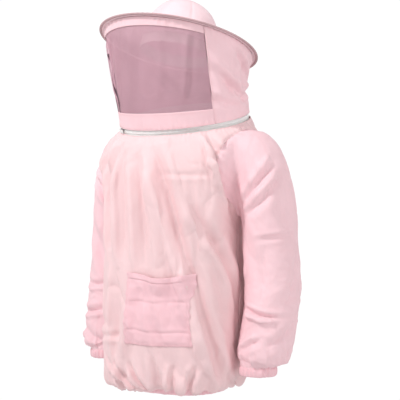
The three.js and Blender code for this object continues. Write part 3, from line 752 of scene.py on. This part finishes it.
class Finish:
    """A procedural material: a Principled shader with soft changes of tone, a weave or grain, and bump."""

    def __init__(self, name, colour, roughness, metallic=0.0):
        self.material = bpy.data.materials.new(name)
        self.material.use_nodes = True
        self.nodes, self.links = self.material.node_tree.nodes, self.material.node_tree.links
        self.shader = self.nodes["Principled BSDF"]
        for key, value in (("Base Color", (*colour, 1)), ("Roughness", roughness), ("Metallic", metallic)):
            self.shader.inputs[key].default_value = value
        self.colour = colour
        self.place = self.nodes.new("ShaderNodeTexCoord")
        self.creases = None

    def node(self, kind, **values):
        made = self.nodes.new(kind)
        for key, value in values.items():
            if key in made.inputs:
                made.inputs[key].default_value = value
            else:
                setattr(made, key, value)
        return made

    def link(self, start, end):
        self.links.new(start, end)

    def tone(self, scale, amount, tint=(1, 1, 1)):
        """Soft lighter and darker areas, in metres."""
        noise = self.node("ShaderNodeTexNoise", Scale=scale, Detail=5.0, Roughness=0.6)
        self.link(self.place.outputs["Object"], noise.inputs["Vector"])
        ramp = self.node("ShaderNodeValToRGB")
        low, high = ramp.color_ramp.elements
        low.position, high.position = 0.3, 0.7
        low.color = (*[c * (1 - amount) * t for c, t in zip(self.colour, tint)], 1)
        high.color = (*[min(c * (1 + amount * 0.5), 1) for c in self.colour], 1)
        self.link(noise.outputs["Fac"], ramp.inputs["Fac"])
        self.link(ramp.outputs["Color"], self.shader.inputs["Base Color"])
        base = self.shader.inputs["Roughness"].default_value
        spread = self.node("ShaderNodeMapRange", **{"To Min": base - 0.06, "To Max": min(base + 0.06, 1)})
        self.link(noise.outputs["Fac"], spread.inputs["Value"])
        self.link(spread.outputs["Result"], self.shader.inputs["Roughness"])
        return self

    def bump(self, heights, strength, distance):
        """Adds a bump fed by one or more height outputs."""
        total = heights[0]
        for height in heights[1:]:
            add = self.node("ShaderNodeMath", operation="ADD")
            self.link(total, add.inputs[0])
            self.link(height, add.inputs[1])
            total = add.outputs[0]
        bump = self.node("ShaderNodeBump", Strength=strength, Distance=distance)
        self.link(total, bump.inputs["Height"])
        if self.creases:
            self.link(self.creases, bump.inputs["Normal"])
        self.link(bump.outputs["Normal"], self.shader.inputs["Normal"])
        return self

    def creased(self, scale, distance):
        """Fine creases left in worn cotton, under the other bumps."""
        spread = self.node("ShaderNodeMapping")
        spread.inputs["Scale"].default_value = (1.25, 1.25, 0.7)
        self.link(self.place.outputs["Object"], spread.inputs["Vector"])
        noise = self.node("ShaderNodeTexNoise", noise_type="RIDGED_MULTIFRACTAL", Scale=scale, Detail=2.5,
                          Roughness=0.45, Distortion=0.7)
        self.link(spread.outputs["Vector"], noise.inputs["Vector"])
        bump = self.node("ShaderNodeBump", Strength=0.8, Distance=distance, invert=True)
        self.link(noise.outputs["Fac"], bump.inputs["Height"])
        self.creases = bump.outputs["Normal"]
        return self

    def threads(self, pitch):
        """Height outputs of the threads running both ways across a sheet."""
        heights = []
        for direction in ("X", "Y"):
            wave = self.node("ShaderNodeTexWave", Scale=TAU / 20 / pitch, Distortion=0.6, Detail=1.0,
                             bands_direction=direction, **{"Detail Scale": 2.0})
            self.link(self.place.outputs["UV"], wave.inputs["Vector"])
            heights.append(wave.outputs["Fac"])
        return heights

    def grain(self, scale):
        noise = self.node("ShaderNodeTexNoise", Scale=scale, Detail=3.0)
        self.link(self.place.outputs["Object"], noise.inputs["Vector"])
        return noise.outputs["Fac"]

    def soft(self, sheen, subsurface):
        for key, value in (("Sheen Weight", sheen), ("Sheen Roughness", 0.45),
                           ("Subsurface Weight", subsurface), ("Subsurface Radius", (0.006, 0.003, 0.003))):
            self.shader.inputs[key].default_value = value
        return self


def cloth_finish(name, colour, tone=0.05, pitch=0.0008, crease=0.0):
    finish = Finish(name, colour, 0.86).tone(9, tone, (1, 0.985, 0.985)).soft(0.1, 0.04)
    if crease:
        finish.creased(9, crease)
    return finish.bump(finish.threads(pitch) + [finish.grain(900)], 0.35, 0.0003).material


def net_finish(name, colour, cover_low=0.30):
    """A knitted net: threads hide what is behind them, the holes let most of it through."""
    finish = Finish(name, colour, 0.7).tone(14, 0.12)
    dark = finish.node("ShaderNodeMath", operation="MAXIMUM")
    first, second = finish.threads(0.0016)
    finish.link(first, dark.inputs[0])
    finish.link(second, dark.inputs[1])
    cover = finish.node("ShaderNodeMapRange", **{"From Min": 0.35, "From Max": 0.95, "To Min": cover_low,
                                                 "To Max": min(cover_low + 0.42, 1)})
    finish.link(dark.outputs[0], cover.inputs["Value"])
    finish.link(cover.outputs["Result"], finish.shader.inputs["Alpha"])
    return finish.bump([dark.outputs[0]], 0.3, 0.0003).material


def metal_finish(name, colour, roughness):
    finish = Finish(name, colour, roughness, 1.0).tone(60, 0.1)
    return finish.bump([finish.grain(700)], 0.12, 0.0002).material


def moulded_finish(name, colour, roughness):
    finish = Finish(name, colour, roughness).tone(40, 0.05).soft(0, 0.1)
    return finish.bump([finish.grain(1500)], 0.1, 0.0002).material


JACKET_CLOTH = cloth_finish("jacket cotton", (0.90, 0.645, 0.66), crease=0.004)
# the jacket's cotton, where it really lies doubled, tinted pinker: the tint is painted light shining through
# the two layers
DOUBLED_COTTON_PAINTED_TRANSLUCENCY = cloth_finish("doubled cotton, painted translucency", (0.92, 0.585, 0.635), crease=0.003)
# the jacket's cotton tinted pinker on the hood and sleeves: the tint is painted light shining through the thin
# cloth
HOOD_AND_SLEEVE_PAINTED_TRANSLUCENCY = cloth_finish("hood and sleeve cotton, painted translucency", (0.93, 0.635, 0.68), crease=0.004)
HAT_CLOTH = cloth_finish("hat cotton", (0.94, 0.70, 0.74), crease=0.0015)
PIPING = cloth_finish("brim piping", (0.58, 0.38, 0.40), 0.12)
ELASTIC = cloth_finish("elastic", (0.86, 0.84, 0.80), pitch=0.0014)
TAPE = cloth_finish("zip tape weave", (0.95, 0.94, 0.92), 0.03, 0.0007)
THREAD = cloth_finish("sewing thread", (0.90, 0.60, 0.62), 0.03, 0.0004)
NET = net_finish("veil net", (0.80, 0.47, 0.56))
# a near-black, mostly opaque copy of the veil net: painted shade inside the veil's pleats
PLEAT_SHADE_NET = net_finish("veil pleat painted shade net", (0.10, 0.05, 0.07), 0.8)
TEETH = moulded_finish("zip teeth", (0.96, 0.95, 0.94), 0.42)
STEEL = metal_finish("slider metal", (0.90, 0.89, 0.88), 0.42)
WIRE = metal_finish("brim wire", (0.6, 0.6, 0.62), 0.4)


def finished(piece, material, body, nodes=()):
    """Colours a piece, hangs it on its body and hides the CAD nodes that it stands for."""
    piece.data.materials.clear()
    piece.data.materials.append(material)
    if body:
        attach(piece, body)
    if nodes:
        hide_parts(*nodes)
    return piece


# ---------------------------------------------------------------- jacket pieces

def jacket():
    """The front, the back and both sleeves, with the weave running down each."""
    piece, rest, regions = garment()
    rest, regions = refined(piece, rest, regions)
    points, faces = points_of(piece), faces_of(piece)
    bpy.data.objects.remove(piece)
    rear = np.arctan2(rest[:, 0], rest[:, 1] - BODY_AHEAD)
    levels = [-row[2] for row in SLEEVE_ROWS]
    row = spline(SLEEVE_ROWS, np.interp(-rest[:, 2], levels, np.linspace(0, 1, len(levels))))
    arm = np.arctan2(np.abs(rest[:, 0]) - row[:, 0], -(rest[:, 1] - row[:, 1]))
    made = []
    for number, (name, around, radius) in enumerate([
        ("front_cloth", trunk_angle(rest), 165), ("back_cloth", rear, 165),
        ("sleeve_cloth_left", arm, 64), ("sleeve_cloth_right", arm, 64),
    ]):
        uv = np.stack([around * radius, rest[:, 2]], axis=1)
        made.append(panel(name, points, uv, [faces[i] for i in np.flatnonzero(regions == number)]))
    return made


def band(name, outline, top, height, seed, count, wall):
    """A gathered casing round an elastic: a soft tube of cloth, rippled all round. Also returns its length."""
    steps, ripple = 16, 1.8
    columns = count * 12
    across, along = grid_values(columns, steps, closed=True)
    across, along = across[:-columns] * TAU, along[:-columns] * TAU
    level = np.sin(along) * height / 2
    out = np.cos(along) * wall / 2
    wave = gathers(across, count, seed)
    belly = np.cos(along) * 0.5 + 0.5
    points = outline(across, out + ripple * wave * (0.35 + 0.65 * belly))
    points[:, 2] = top - height / 2 + level + 0.6 * gathers(across, count // 3, seed + 1)
    span = np.linalg.norm(np.diff(outline(np.linspace(0, TAU, 90), np.zeros(90)), axis=0), axis=1).sum()
    uv = np.stack([across / TAU * span * 1.3, along / TAU * 2 * height], axis=1)
    return solid(name, points, grid_faces(columns, steps, closed=True, looped=True), uv), span


def hem_outline(turn, out):
    s, c = np.sin(turn), np.cos(turn)
    return np.stack([
        (HEM_HALVES[0] + out) * np.sign(s) * np.abs(s) ** (2 / HEM_POWER),
        BODY_AHEAD - (HEM_HALVES[1] + out) * np.sign(c) * np.abs(c) ** (2 / HEM_POWER),
        np.zeros(len(turn)),
    ], axis=1)


def cuff_outline(side):
    def outline(turn, out):
        return np.stack([side * CUFF_CENTRE[0] + (CUFF_RADIUS + out) * np.sin(turn),
                         CUFF_CENTRE[1] - (CUFF_RADIUS + out) * np.cos(turn), np.zeros(len(turn))], axis=1)
    return outline


front, back, sleeve_left, sleeve_right = jacket()
front_tree = tree_of(front)
jacket_tree = tree_of(front, back)

POCKET_LEFT, POCKET_RIGHT = 136.0, -26.0
POCKET_TOP, POCKET_BOTTOM = -364.0, -533.0
POCKET_WIDTH, POCKET_HEIGHT = POCKET_LEFT - POCKET_RIGHT, POCKET_TOP - POCKET_BOTTOM
POCKET_GRID = 96


def evened(depths):
    """A grid of depths without the small folds under it."""
    pad, kernel = 12, np.hanning(15) / np.hanning(15).sum()
    even = np.pad(depths, pad, mode="edge")
    for axis in (0, 1):
        even = np.apply_along_axis(lambda line: np.convolve(line, kernel, "same"), axis, even)
    return even[pad:-pad, pad:-pad]


def pocket_point(across, up):
    """The pocket lies on the front of the jacket, sewn at its sides and bottom and slack at its mouth."""
    pucker = 1.3 * np.sin(up * 46) * (smooth(across, 0.9, 1) - smooth(1 - across, 0.9, 1))
    x = POCKET_RIGHT + across * POCKET_WIDTH + pucker
    sag = (3.5 * np.sin(across * 2.2 * math.pi + 0.4) * smooth(up, 0.6, 1)
           - 4 * np.sin(across * math.pi) * up ** 3)
    z = POCKET_BOTTOM + up * POCKET_HEIGHT + sag
    hit = np.zeros(len(x))
    for index in range(len(x)):
        spot, _, _, _ = front_tree.ray_cast(Vector((x[index], -400, z[index])) * MM, Vector((0, 1, 0)))
        hit[index] = spot.y / MM if spot else -150
    even = evened(hit.reshape(POCKET_GRID + 1, -1)).ravel()
    rim = np.minimum(across, 1 - across) * POCKET_WIDTH
    foot = up * POCKET_HEIGHT
    inside = smooth(rim, 0, 14) * smooth(foot, 0, 14)
    mouth = smooth(up, 0.55, 1) * np.sin(across * math.pi) ** 0.7
    pressed = 0
    for level, depth, slant in ((-430, 1.9, 4), (-500, 2.2, -4)):
        off = (z - level - slant * (across - 0.5) - 1.5 * np.sin(across * 9)) / 3.4
        pressed = pressed + depth * (-np.exp(-np.abs(off) ** 1.3) + 0.35 * np.exp(-(off - 2.2) ** 2 / 2))
    hem = 1.1 * (smooth(up, 0.915, 0.925) - 1.5 * np.exp(-((up - 0.915) * POCKET_HEIGHT / 1.4) ** 2))
    edge_pucker = 0.8 * np.sin(foot / 2.6) * np.exp(-rim / 7) + 0.8 * np.sin(across * 70) * np.exp(-foot / 7)
    spots = np.stack([x, even, z], axis=1)
    slack = Waves(21, 60)(spots) * 1.6 + Waves(22, 24)(spots) * 0.5
    lift = 1.4 + inside * (3.2 + 7 * mouth + pressed + slack) + edge_pucker * 0.7 + hem
    return np.stack([x, np.minimum(even, hit) - np.maximum(lift, 1.3), z], axis=1)


pocket = draped("pocket_cloth", pocket_point, POCKET_GRID, POCKET_GRID, POCKET_WIDTH, POCKET_HEIGHT)
pocket_net = points_of(pocket).reshape(POCKET_GRID + 1, POCKET_GRID + 1, 3)
pocket_lines = [pocket_net[:, 3], pocket_net[:, 93], pocket_net[2, 3:-3], pocket_net[88, 3:-3]]
pocket_thread = stitches("pocket_stitching", [line - (0, 0.35, 0) for line in pocket_lines])

seam_turns = np.linspace(0, TAU, 420)
neck_line = snapped(on_neck(seam_turns, 161, -ZIP_EDGE - 3.5), jacket_tree, (0, -10, -40))
collar_thread = stitches("neck_stitching", [neck_line])
hem_middle = (0, 0, HEM_CUT + 16)
hem_line = snapped(hem_outline(seam_turns, 4) + hem_middle, jacket_tree, (0, BODY_AHEAD, HEM_CUT + 16))
hem_thread = stitches("hem_stitching", [hem_line])

hem_band, hem_span = band("hem_band", hem_outline, HEM_TOP, 23, 31, 52, 7)
for sheet_piece in (front, back, sleeve_left, sleeve_right):
    thicken(sheet_piece, 1.2)
thicken(pocket, 1.1)
for piece, material, nodes in (
    (front, JACKET_CLOTH, ["bodice_front"]), (back, JACKET_CLOTH, ["bodice_back"]),
    (pocket, DOUBLED_COTTON_PAINTED_TRANSLUCENCY, ["pocket"]), (pocket_thread, THREAD, ()), (collar_thread, THREAD, ()),
    (hem_thread, THREAD, ()), (hem_band, DOUBLED_COTTON_PAINTED_TRANSLUCENCY, ["hem_casing", "hem_elastic"]),
):
    finished(piece, material, "jacket", nodes)
for side, label, sleeve in ((1, "left", sleeve_left), (-1, "right", sleeve_right)):
    arm = f"arm_{label}"
    cuff, cuff_span = band(f"cuff_band_{label}", cuff_outline(side), CUFF_TOP, 22, 41 + side, 22, 6)
    finished(cuff, DOUBLED_COTTON_PAINTED_TRANSLUCENCY, arm, [f"cuff_casing_{label}", f"cuff_elastic_{label}"])
    finished(sleeve, HOOD_AND_SLEEVE_PAINTED_TRANSLUCENCY, None, [f"sleeve_{label}"])
    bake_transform(sleeve)

# ---------------------------------------------------------------- neck zip

TEETH_FROM, TEETH_TO = math.radians(-34), math.radians(314)
TAPE_PAST = math.radians(3)
TOOTH_PITCH = 2.4


def zip_row(side):
    """Moulded teeth, each a small tapered block whose nose meshes with the other row."""
    count = int((TEETH_TO - TEETH_FROM) * NECK_RADIUS / TOOTH_PITCH)
    teeth = []
    for index in range(count):
        turn = TEETH_FROM + (index + (0.5 if side > 0 else 0)) * TOOTH_PITCH / NECK_RADIUS
        points = []
        for height, half, deep in ((-0.55, 0.5, 1.3), (0.5, 0.62, 1.9), (3.6, 0.72, 1.9), (4.3, 0.4, 1.0)):
            for a, b in ((-1, -1), (1, -1), (1, 1), (-1, 1)):
                points.append(on_neck(turn + a * half / NECK_RADIUS, NECK_RADIUS + b * deep, side * height))
        teeth.append((points, [(0, 1, 2, 3), (15, 14, 13, 12)] + grid_faces(4, 3, closed=True, reverse=True)))
    return solid(f"zip_teeth_{'upper' if side > 0 else 'lower'}_row", *joined(teeth))


for side, label, body in ((1, "upper", "hood"), (-1, "lower", "jacket")):
    finished(zip_row(side), TEETH, body, [f"zip_teeth_{label}"])
    strip = rounded(0.5, 8.4, 0.4, NECK_RADIUS + 0.1, side * 11.6)
    tape = swept(f"zip_tape_{label}_weave", on_neck, strip, 240, (TEETH_FROM - TAPE_PAST, TEETH_TO + TAPE_PAST))
    finished(tape, TAPE, body, [f"zip_tape_{label}"])

# ---------------------------------------------------------------- hood

STAND_SHARE = 0.08
HOOD_RADIUS = NECK_RADIUS + 4.0
HOOD_LOW, HOOD_STAND = ZIP_EDGE, 22.0
HOOD_DROP = 3.2
NAPE_HOLLOW = 24.0
LOWER_BAND, UPPER_BAND = 0.17, 0.925    # shares of the hood's height
HOOD_DEEP, BAND_DEEP, VEIL_DEEP = 7, 2.5, 2.0
VEIL_LAP, VEIL_INSET = 0.012, 1.9       # the net runs on behind both bands


def hood_point(angle, up):
    """From the neck zip up to the underside of the brim."""
    stand = on_neck(angle, HOOD_RADIUS, HOOD_LOW + (HOOD_STAND - HOOD_LOW) * np.minimum(up / STAND_SHARE, 1))
    above = np.clip((up - STAND_SHARE) / (1 - STAND_SHARE), 0, 1)
    high = on_hat(angle, VEIL_TOP_RADIUS, -HOOD_DROP)
    low = on_neck(angle, HOOD_RADIUS, HOOD_STAND)
    rear = ((1 - np.cos(angle)) / 2) ** 1.5
    hollow = (NAPE_HOLLOW * rear - 4 * (1 - rear)) * np.sin(math.pi * above) ** 1.3
    outward = np.stack([np.sin(angle), -np.cos(angle), np.zeros_like(angle)], axis=-1)
    run = low + (high - low) * above[:, None]
    return np.where((up < STAND_SHARE)[:, None], stand, run) - outward * hollow[:, None], outward


def hood_folds(angle, up, deep):
    """Soft upright folds that fade out at the zip and the brim, plus small puckers at both seams."""
    middle = smooth(up, 0.0, 0.3) * (1 - smooth(up, 0.8, 1.0))
    lean = 0.35 * (up - 0.5)
    slow = gathers(angle + lean, 7, 51) * 0.6 + gathers(angle - 1.4 * lean, 13, 52) * 0.45
    fine = gathers(angle, 60, 53) * 0.9 * (np.exp(-up / 0.07) + np.exp(-(1 - up) / 0.06))
    return deep * middle * slow + fine


def window_edge(share):
    """Half angle of the window, wider towards the zip."""
    return VEIL_HALF + 0.16 * (1 - np.asarray(share, float))


def hood_sheet(name, rear, low, high, columns, rows, deep, extra=None):
    """Part of the hood between two heights: its sides and back, or the front inside the window's edges."""
    def at(across, up):
        share = low + (high - low) * up
        edge = window_edge(share) + (0.003 if rear else 0)
        start, end = (edge, TAU - edge) if rear else (-edge, edge)
        angle = start + (end - start) * across
        points, outward = hood_point(angle, share)
        move = hood_folds(angle, share, deep)
        if extra is not None:
            move = move + extra(angle, share)
        return points + outward * move[:, None]
    wide = TAU - 2 * VEIL_HALF if rear else 2 * VEIL_HALF
    return draped(name, at, columns, rows, wide * 172, (high - low) * 190)


def nape_fold(angle, up):
    """A slanting fold in the wearer's left side of the hood, below the brim, and others behind it."""
    angle = np.where(angle > math.pi, angle - TAU, angle)
    total = 0
    for centre, level, slope, depth, width in ((1.45, 0.40, -0.42, 10, 0.06), (1.25, 0.22, -0.2, 5, 0.05),
                                               (1.75, 0.72, -0.5, 6, 0.06), (2.0, 0.35, 0.45, 7, 0.07),
                                               (-1.5, 0.4, 0.5, 9, 0.06), (2.9, 0.5, 0.15, 6, 0.06),
                                               (-2.3, 0.45, -0.4, 8, 0.06)):
        away = (up - level - slope * (angle - centre)) / width
        fade = np.exp(-((angle - centre) / 0.42) ** 2)
        total = total + depth * fade * (-np.exp(-away ** 2) + 0.7 * np.exp(-(away - 1.7) ** 2))
    return total * smooth(up, 0.02, 0.2) * (1 - smooth(up, 0.85, 1))


def veil_folds(angle, up):
    """Upright folds, sharpest towards the wearer's right."""
    middle = smooth(up, 0.25, 0.4) * (1 - smooth(up, 0.8, 0.92))
    total = 0
    for centre, depth, width in ((-0.78, 5, 0.03), (-0.68, 4, 0.025), (-0.5, 3.5, 0.05), (-0.15, 3, 0.08),
                                 (0.3, 3, 0.07), (0.66, 4, 0.05)):
        away = (angle - centre - 0.12 * (up - 0.5)) / width
        total = total + depth * (np.exp(-away ** 2) - 0.6 * np.exp(-(away - 1.6) ** 2))
    return total * middle


# each strip of painted shade in a pleat: angle at the bottom and at the top, width, and the shares of the
# window's height that it spans
VEIL_PLEAT_SHADE = [(-0.95, -0.915, 17, 0, 1), (-0.66, -0.75, 5, 0, 0.75), (-0.60, -0.64, 2.6, 0.08, 0.5)]


def veil_pleat_shade():
    """Pleats where the net is doubled, near the window's edge at the wearer's right; their near-black colour is
    painted shade.
    """
    strips = []
    for bottom, top, wide, low, high in VEIL_PLEAT_SHADE:
        across, up = grid_values(8, 70)
        share = LOWER_BAND + (UPPER_BAND - LOWER_BAND) * (low + (high - low) * up)
        angle = bottom + (top - bottom) * up + 0.006 * np.sin(9 * up) + across * wide / 172
        points, outward = hood_point(angle, share)
        move = (hood_folds(angle, share, VEIL_DEEP) + veil_folds(angle, share) - 1.4
                + 0.8 * np.sin(across * math.pi))
        strips.append((points + outward * move[:, None], grid_faces(8, 70)))
    points, faces = joined(strips)
    return new_object("veil_pleat_shade", points, faces, points[:, [0, 2]])


hood_cloth = hood_sheet("hood_cloth", True, 0, 1, 420, 90, HOOD_DEEP, nape_fold)
front_band = hood_sheet("hood_front_cloth", False, 0, LOWER_BAND, 200, 26, BAND_DEEP)
brow_band = hood_sheet("hood_brow_cloth", False, UPPER_BAND, 1, 260, 14, 1.5,
                       lambda a, u: gathers(a, 64, 57) * 0.4)
veil = hood_sheet("veil_net", False, LOWER_BAND - VEIL_LAP, UPPER_BAND + VEIL_LAP, 240, 70, VEIL_DEEP,
                  lambda a, u: veil_folds(a, u) - VEIL_INSET)
pleat_shade = veil_pleat_shade()
for piece, wall in ((hood_cloth, 1.2), (front_band, 1.2), (brow_band, 1.4)):
    thicken(piece, wall)
for piece, material, slot, nodes in (
    (hood_cloth, HOOD_AND_SLEEVE_PAINTED_TRANSLUCENCY, "hood_cloth", ["hood_back"]),
    (front_band, HOOD_AND_SLEEVE_PAINTED_TRANSLUCENCY, "hood_cloth", ["hood_front_band"]),
    (brow_band, HOOD_AND_SLEEVE_PAINTED_TRANSLUCENCY, "hood_cloth", ["hood_brow_band"]),
    (veil, NET, "veil_net", ["veil_mesh"]), (pleat_shade, PLEAT_SHADE_NET, "veil_net", ()),
):
    finished(piece, material, "hood", nodes)


def hood_line(start, end, share, deep=HOOD_DEEP, extra=None):
    """A line of points just outside the hood. Its ends are shares of the window's half angle."""
    up = np.full(260, float(share)) if np.isscalar(share) else np.linspace(*share, 260)
    angle = np.linspace(start, end, 260) * window_edge(up)
    points, outward = hood_point(angle, up)
    move = hood_folds(angle, up, deep) + (extra(angle, up) if extra else 0)
    return points + outward * (move + 0.5)[:, None]


hood_thread = stitches("hood_stitching", [
    hood_line(-1, 1, LOWER_BAND - 0.015, BAND_DEEP),
    hood_line(-1, 1, 0.02, BAND_DEEP),
    hood_line(1.02, 1.02, (0.02, 0.98), extra=nape_fold),
    hood_line(-1.02, -1.02, (0.02, 0.98), extra=nape_fold),
])
finished(hood_thread, THREAD, "hood")

# ---------------------------------------------------------------- hat

RING_PITCH = 11.0
BRIM_EDGE = HAT_RADIUS - 5.2


def brim_outline():
    """Two cloths quilted together by rings of stitching."""
    radii = np.arange(CROWN_RADIUS - 1.5, BRIM_EDGE, 1.4)
    groove = np.exp(-((((radii - CROWN_RADIUS) % RING_PITCH) - RING_PITCH / 2) / 0.9) ** 2)
    thick = 1.6 - 0.6 * groove
    thick[[0, -1]] = 0.5
    top = list(zip(radii, thick))
    return top + [(r, -h) for r, h in top[::-1]]


def brim_ripple(turn, radius, height):
    free = smooth(radius, CROWN_RADIUS, 130) * (1 - smooth(radius, 170, 190))
    return radius, height + free * 2.2 * np.sin(3 * turn + 0.8) + free * 0.9 * gathers(turn, 9, 61)


def crown_point(across, up):
    turn = across * TAU
    rise = up * TAU / 4
    radius = (CROWN_RADIUS - 0.2) * np.cos(rise) ** 0.86
    seam = np.abs(np.sin(turn * 3 + 0.5))
    give = 1 - 0.02 * np.exp(-(seam / 0.12) ** 2)
    height = CROWN_HEIGHT * np.sin(rise)
    points = on_hat(turn, radius * give, height)
    slack = Waves(62, 60)(points) * 1.6 + gathers(turn, 30, 63) * 1.2 * np.exp(-up / 0.09)
    inward = on_hat(turn, radius * give - 1, height) - points
    return points - inward * np.minimum(slack, 2.5)[:, None] * smooth(radius, 0, 40)[:, None]


brim = swept("brim_cloth", on_hat, brim_outline(), 240, ripple=brim_ripple)
crown = draped("crown_cloth", crown_point, 192, 60, CROWN_RADIUS * TAU, 150, closed=True)
thicken(crown, 1.4)
binding = swept("brim_piping_cloth", on_hat, rounded(3.6, 2.0, 1.8, HAT_RADIUS - 3.8), 240,
                ripple=lambda t, r, h: (r + 0.25 * gathers(t, 130, 64), h + 0.2 * gathers(t, 90, 65)))
sweat = swept("sweatband_cloth", on_hat, rounded(0.8, 15, 0.6, CROWN_RADIUS - 3.4, -11), 96)
for piece, material, slot, node in (
    (brim, HAT_CLOTH, "hat_cloth", "hat_brim"), (crown, HAT_CLOTH, "hat_cloth", "hat_crown"),
    (binding, PIPING, "brim_piping", "brim_binding"), (sweat, ELASTIC, "elastic", "sweatband"),
):
    finished(piece, material, "hood", [node])

# ---------------------------------------------------------------- hard pieces kept from the CAD

for node, material in (("zip_pin_box", TEETH), ("zip_slider", STEEL), ("zip_pull", STEEL), ("brim_wire", WIRE)):
    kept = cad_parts[node]
    kept.data.materials.clear()
    kept.data.materials.append(material)
    if node != "brim_wire":
        bevel = kept.modifiers.new("soft edges", "BEVEL")
        bevel.width, bevel.segments, bevel.limit_method = 0.00025, 2, "ANGLE"

# ---------------------------------------------------------------- floor, light and camera

FLOOR_LEVEL = -1.45         # metres from here on
CAMERA_AWAY, CAMERA_ASIDE, CAMERA_LEVEL, AIM_LEVEL = 3.2, 0.0375, -0.04, -0.197
SENSOR = 36

bpy.ops.mesh.primitive_circle_add(vertices=96, radius=3, fill_type="NGON", location=(0, 0, FLOOR_LEVEL))
floor = bpy.context.object
floor.name = "floor"
floor.data.materials.append(moulded_finish("pale floor", (0.93, 0.93, 0.93), 0.9))

VIEW_TURN = math.radians(35)
away = Vector((math.sin(VIEW_TURN), -math.cos(VIEW_TURN), 0))
right = Vector((math.cos(VIEW_TURN), math.sin(VIEW_TURN), 0))


def studio_world():
    """White round the horizon, dimmer overhead and below, by the height of the direction looked in."""
    world = bpy.data.worlds.new("studio")
    world.use_nodes = True
    nodes, links = world.node_tree.nodes, world.node_tree.links
    place = nodes.new("ShaderNodeTexCoord")
    split = nodes.new("ShaderNodeSeparateXYZ")
    links.new(place.outputs["Generated"], split.inputs["Vector"])
    total = nodes.new("ShaderNodeMath")
    total.operation = "MULTIPLY"
    for index, (start, end, dim) in enumerate(((0.14, 0.42, 0.40), (-0.24, -0.5, 0.35))):
        level = nodes.new("ShaderNodeMapRange")
        level.interpolation_type = "SMOOTHSTEP"
        for key, value in (("From Min", start), ("From Max", end), ("To Min", 1.015), ("To Max", dim)):
            level.inputs[key].default_value = value
        links.new(split.outputs["Z"], level.inputs["Value"])
        links.new(level.outputs["Result"], total.inputs[index])
    links.new(total.outputs[0], nodes["Background"].inputs["Strength"])
    nodes["Background"].inputs["Color"].default_value = (1, 1, 1, 1)
    bpy.context.scene.world = world


studio_world()


def area_light(name, place, target, size, power):
    light = bpy.data.lights.new(name, "AREA")
    light.size, light.energy = size, power
    lamp = bpy.data.objects.new(name, light)
    bpy.context.scene.collection.objects.link(lamp)
    lamp.location = place
    lamp.rotation_euler = (Vector(target) - Vector(place)).to_track_quat("-Z", "Y").to_euler()


up_axis = Vector((0, 0, 1))
area_light("key", away * 1.25 - right * 1.45 + up_axis * 1.9, (0, 0, -0.15), 0.35, 49)
area_light("fill", away * 2.2 + right * 2.4 + up_axis * 1.6, (0, 0, 0), 1.6, 30)
eye = away * CAMERA_AWAY + right * CAMERA_ASIDE + Vector((0, 0, CAMERA_LEVEL))
target = right * CAMERA_ASIDE + Vector((0, 0, AIM_LEVEL))
lens = bpy.data.cameras.new("camera")
lens.sensor_width = SENSOR
lens.lens = SENSOR * (eye - target).length      # frames one metre across at the garment
camera = bpy.data.objects.new("camera", lens)
bpy.context.scene.collection.objects.link(camera)
camera.location = eye
camera.rotation_euler = (target - eye).to_track_quat("-Z", "Y").to_euler()
bpy.context.scene.camera = camera
bpy.context.scene.view_settings.view_transform = "Standard"
